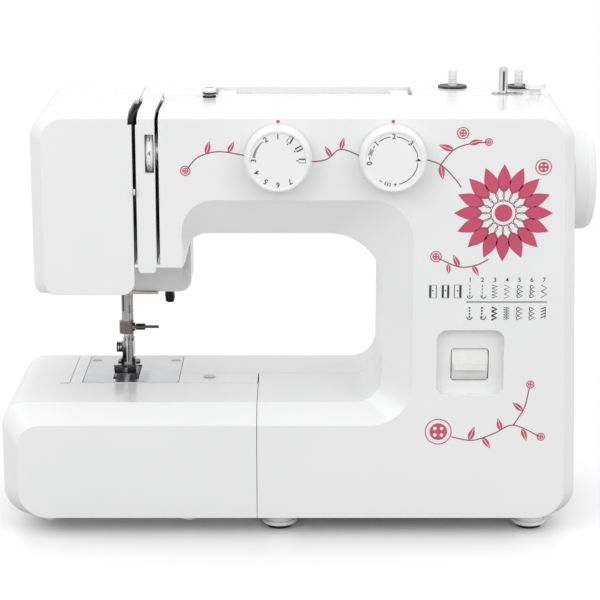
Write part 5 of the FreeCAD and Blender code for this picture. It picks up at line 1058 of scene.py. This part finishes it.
# lamps: name, place, turn in degrees, size, watts
studio = dict(floorSize=14.0, floorRough=0.25, floorSeen=0.97, floorBounce=0.48, lift=0.60,
              reach=(0.235, 0.135), fade=(0.75, 1.7), world=1.02,
              lamps=(("overhead", (0.0, -0.3, 2.0), (0, 0, 0), 2.2, 2.5),
                     ("frontLeft", (-1.7, -1.9, 1.6), (55, 0, -42), 1.6, 15.0),
                     ("frontRight", (1.8, -1.9, 1.5), (55, 0, 43), 1.6, 12.5)))
offOn = (0.0, 1.0)  # what a ray switch gives


def seenRays(tree, rays):
    # 1 for what the camera, a reflection or a clear bulb sees
    value = rays.outputs["Is Camera Ray"]
    for label in ("Is Glossy Ray", "Is Transmission Ray"):
        either = tree.nodes.new("ShaderNodeMath")
        either.operation = "MAXIMUM"
        tree.links.new(value, either.inputs[0])
        tree.links.new(rays.outputs[label], either.inputs[1])
        value = either.outputs["Value"]
    return value


def floorFinish():
    # pale paper that glows a little where it is seen, less so near the machine
    material, tree, shader, coords = startMaterial("paleFloor")
    make, link = tree.nodes.new, tree.links.new
    rays, glow, blend = make("ShaderNodeLightPath"), make("ShaderNodeEmission"), make("ShaderNodeMixShader")
    tone = rangeOf(tree, rays.outputs["Is Camera Ray"], studio["floorBounce"], studio["floorSeen"], offOn)
    link(tone, shader.inputs["Base Color"])
    shader.inputs["Roughness"].default_value = studio["floorRough"]
    spread, length, most = make("ShaderNodeMapping"), make("ShaderNodeVectorMath"), make("ShaderNodeMath")
    spread.inputs["Scale"].default_value = (1 / studio["reach"][0], 1 / studio["reach"][1], 0)
    length.operation = "LENGTH"
    most.operation = "MULTIPLY"
    link(coords, spread.inputs["Vector"])
    link(spread.outputs["Vector"], length.inputs[0])
    link(seenRays(tree, rays), most.inputs[0])
    link(rangeOf(tree, length.outputs["Value"], 0.0, studio["lift"], studio["fade"]), most.inputs[1])
    link(most.outputs["Value"], blend.inputs["Fac"])
    link(shader.outputs["BSDF"], blend.inputs[1])
    link(glow.outputs["Emission"], blend.inputs[2])
    link(blend.outputs["Shader"], tree.nodes["Material Output"].inputs["Surface"])
    return material


def makeFloor():
    size = studio["floorSize"]
    corners = [(x, y, 0) for x, y in rectangle(-size, size, -size, size)]
    mesh = meshOf("paleFloor", corners, [(0, 1, 2, 3)])
    floor = bpy.data.objects.new("paleFloor", mesh)
    scene.collection.objects.link(floor)
    mesh.materials.append(floorFinish())


def makeLight():
    world = bpy.data.worlds.new("studio")
    scene.world = world
    world.use_nodes = True
    tree = world.node_tree
    back = tree.nodes["Background"]
    back.inputs["Color"].default_value = (1, 1, 1, 1)
    seen = seenRays(tree, tree.nodes.new("ShaderNodeLightPath"))
    tree.links.new(rangeOf(tree, seen, studio["world"], 1.0, offOn), back.inputs["Strength"])
    for name, place, turn, size, power in studio["lamps"]:
        data = bpy.data.lights.new(name, "AREA")
        data.size = size
        data.energy = power
        lamp = bpy.data.objects.new(name, data)
        lamp.location = place
        lamp.rotation_euler = [math.radians(a) for a in turn]
        scene.collection.objects.link(lamp)


makeCamera()
makeFloor()
makeLight()
scene.view_settings.view_transform = "Standard"
print("studio ready")
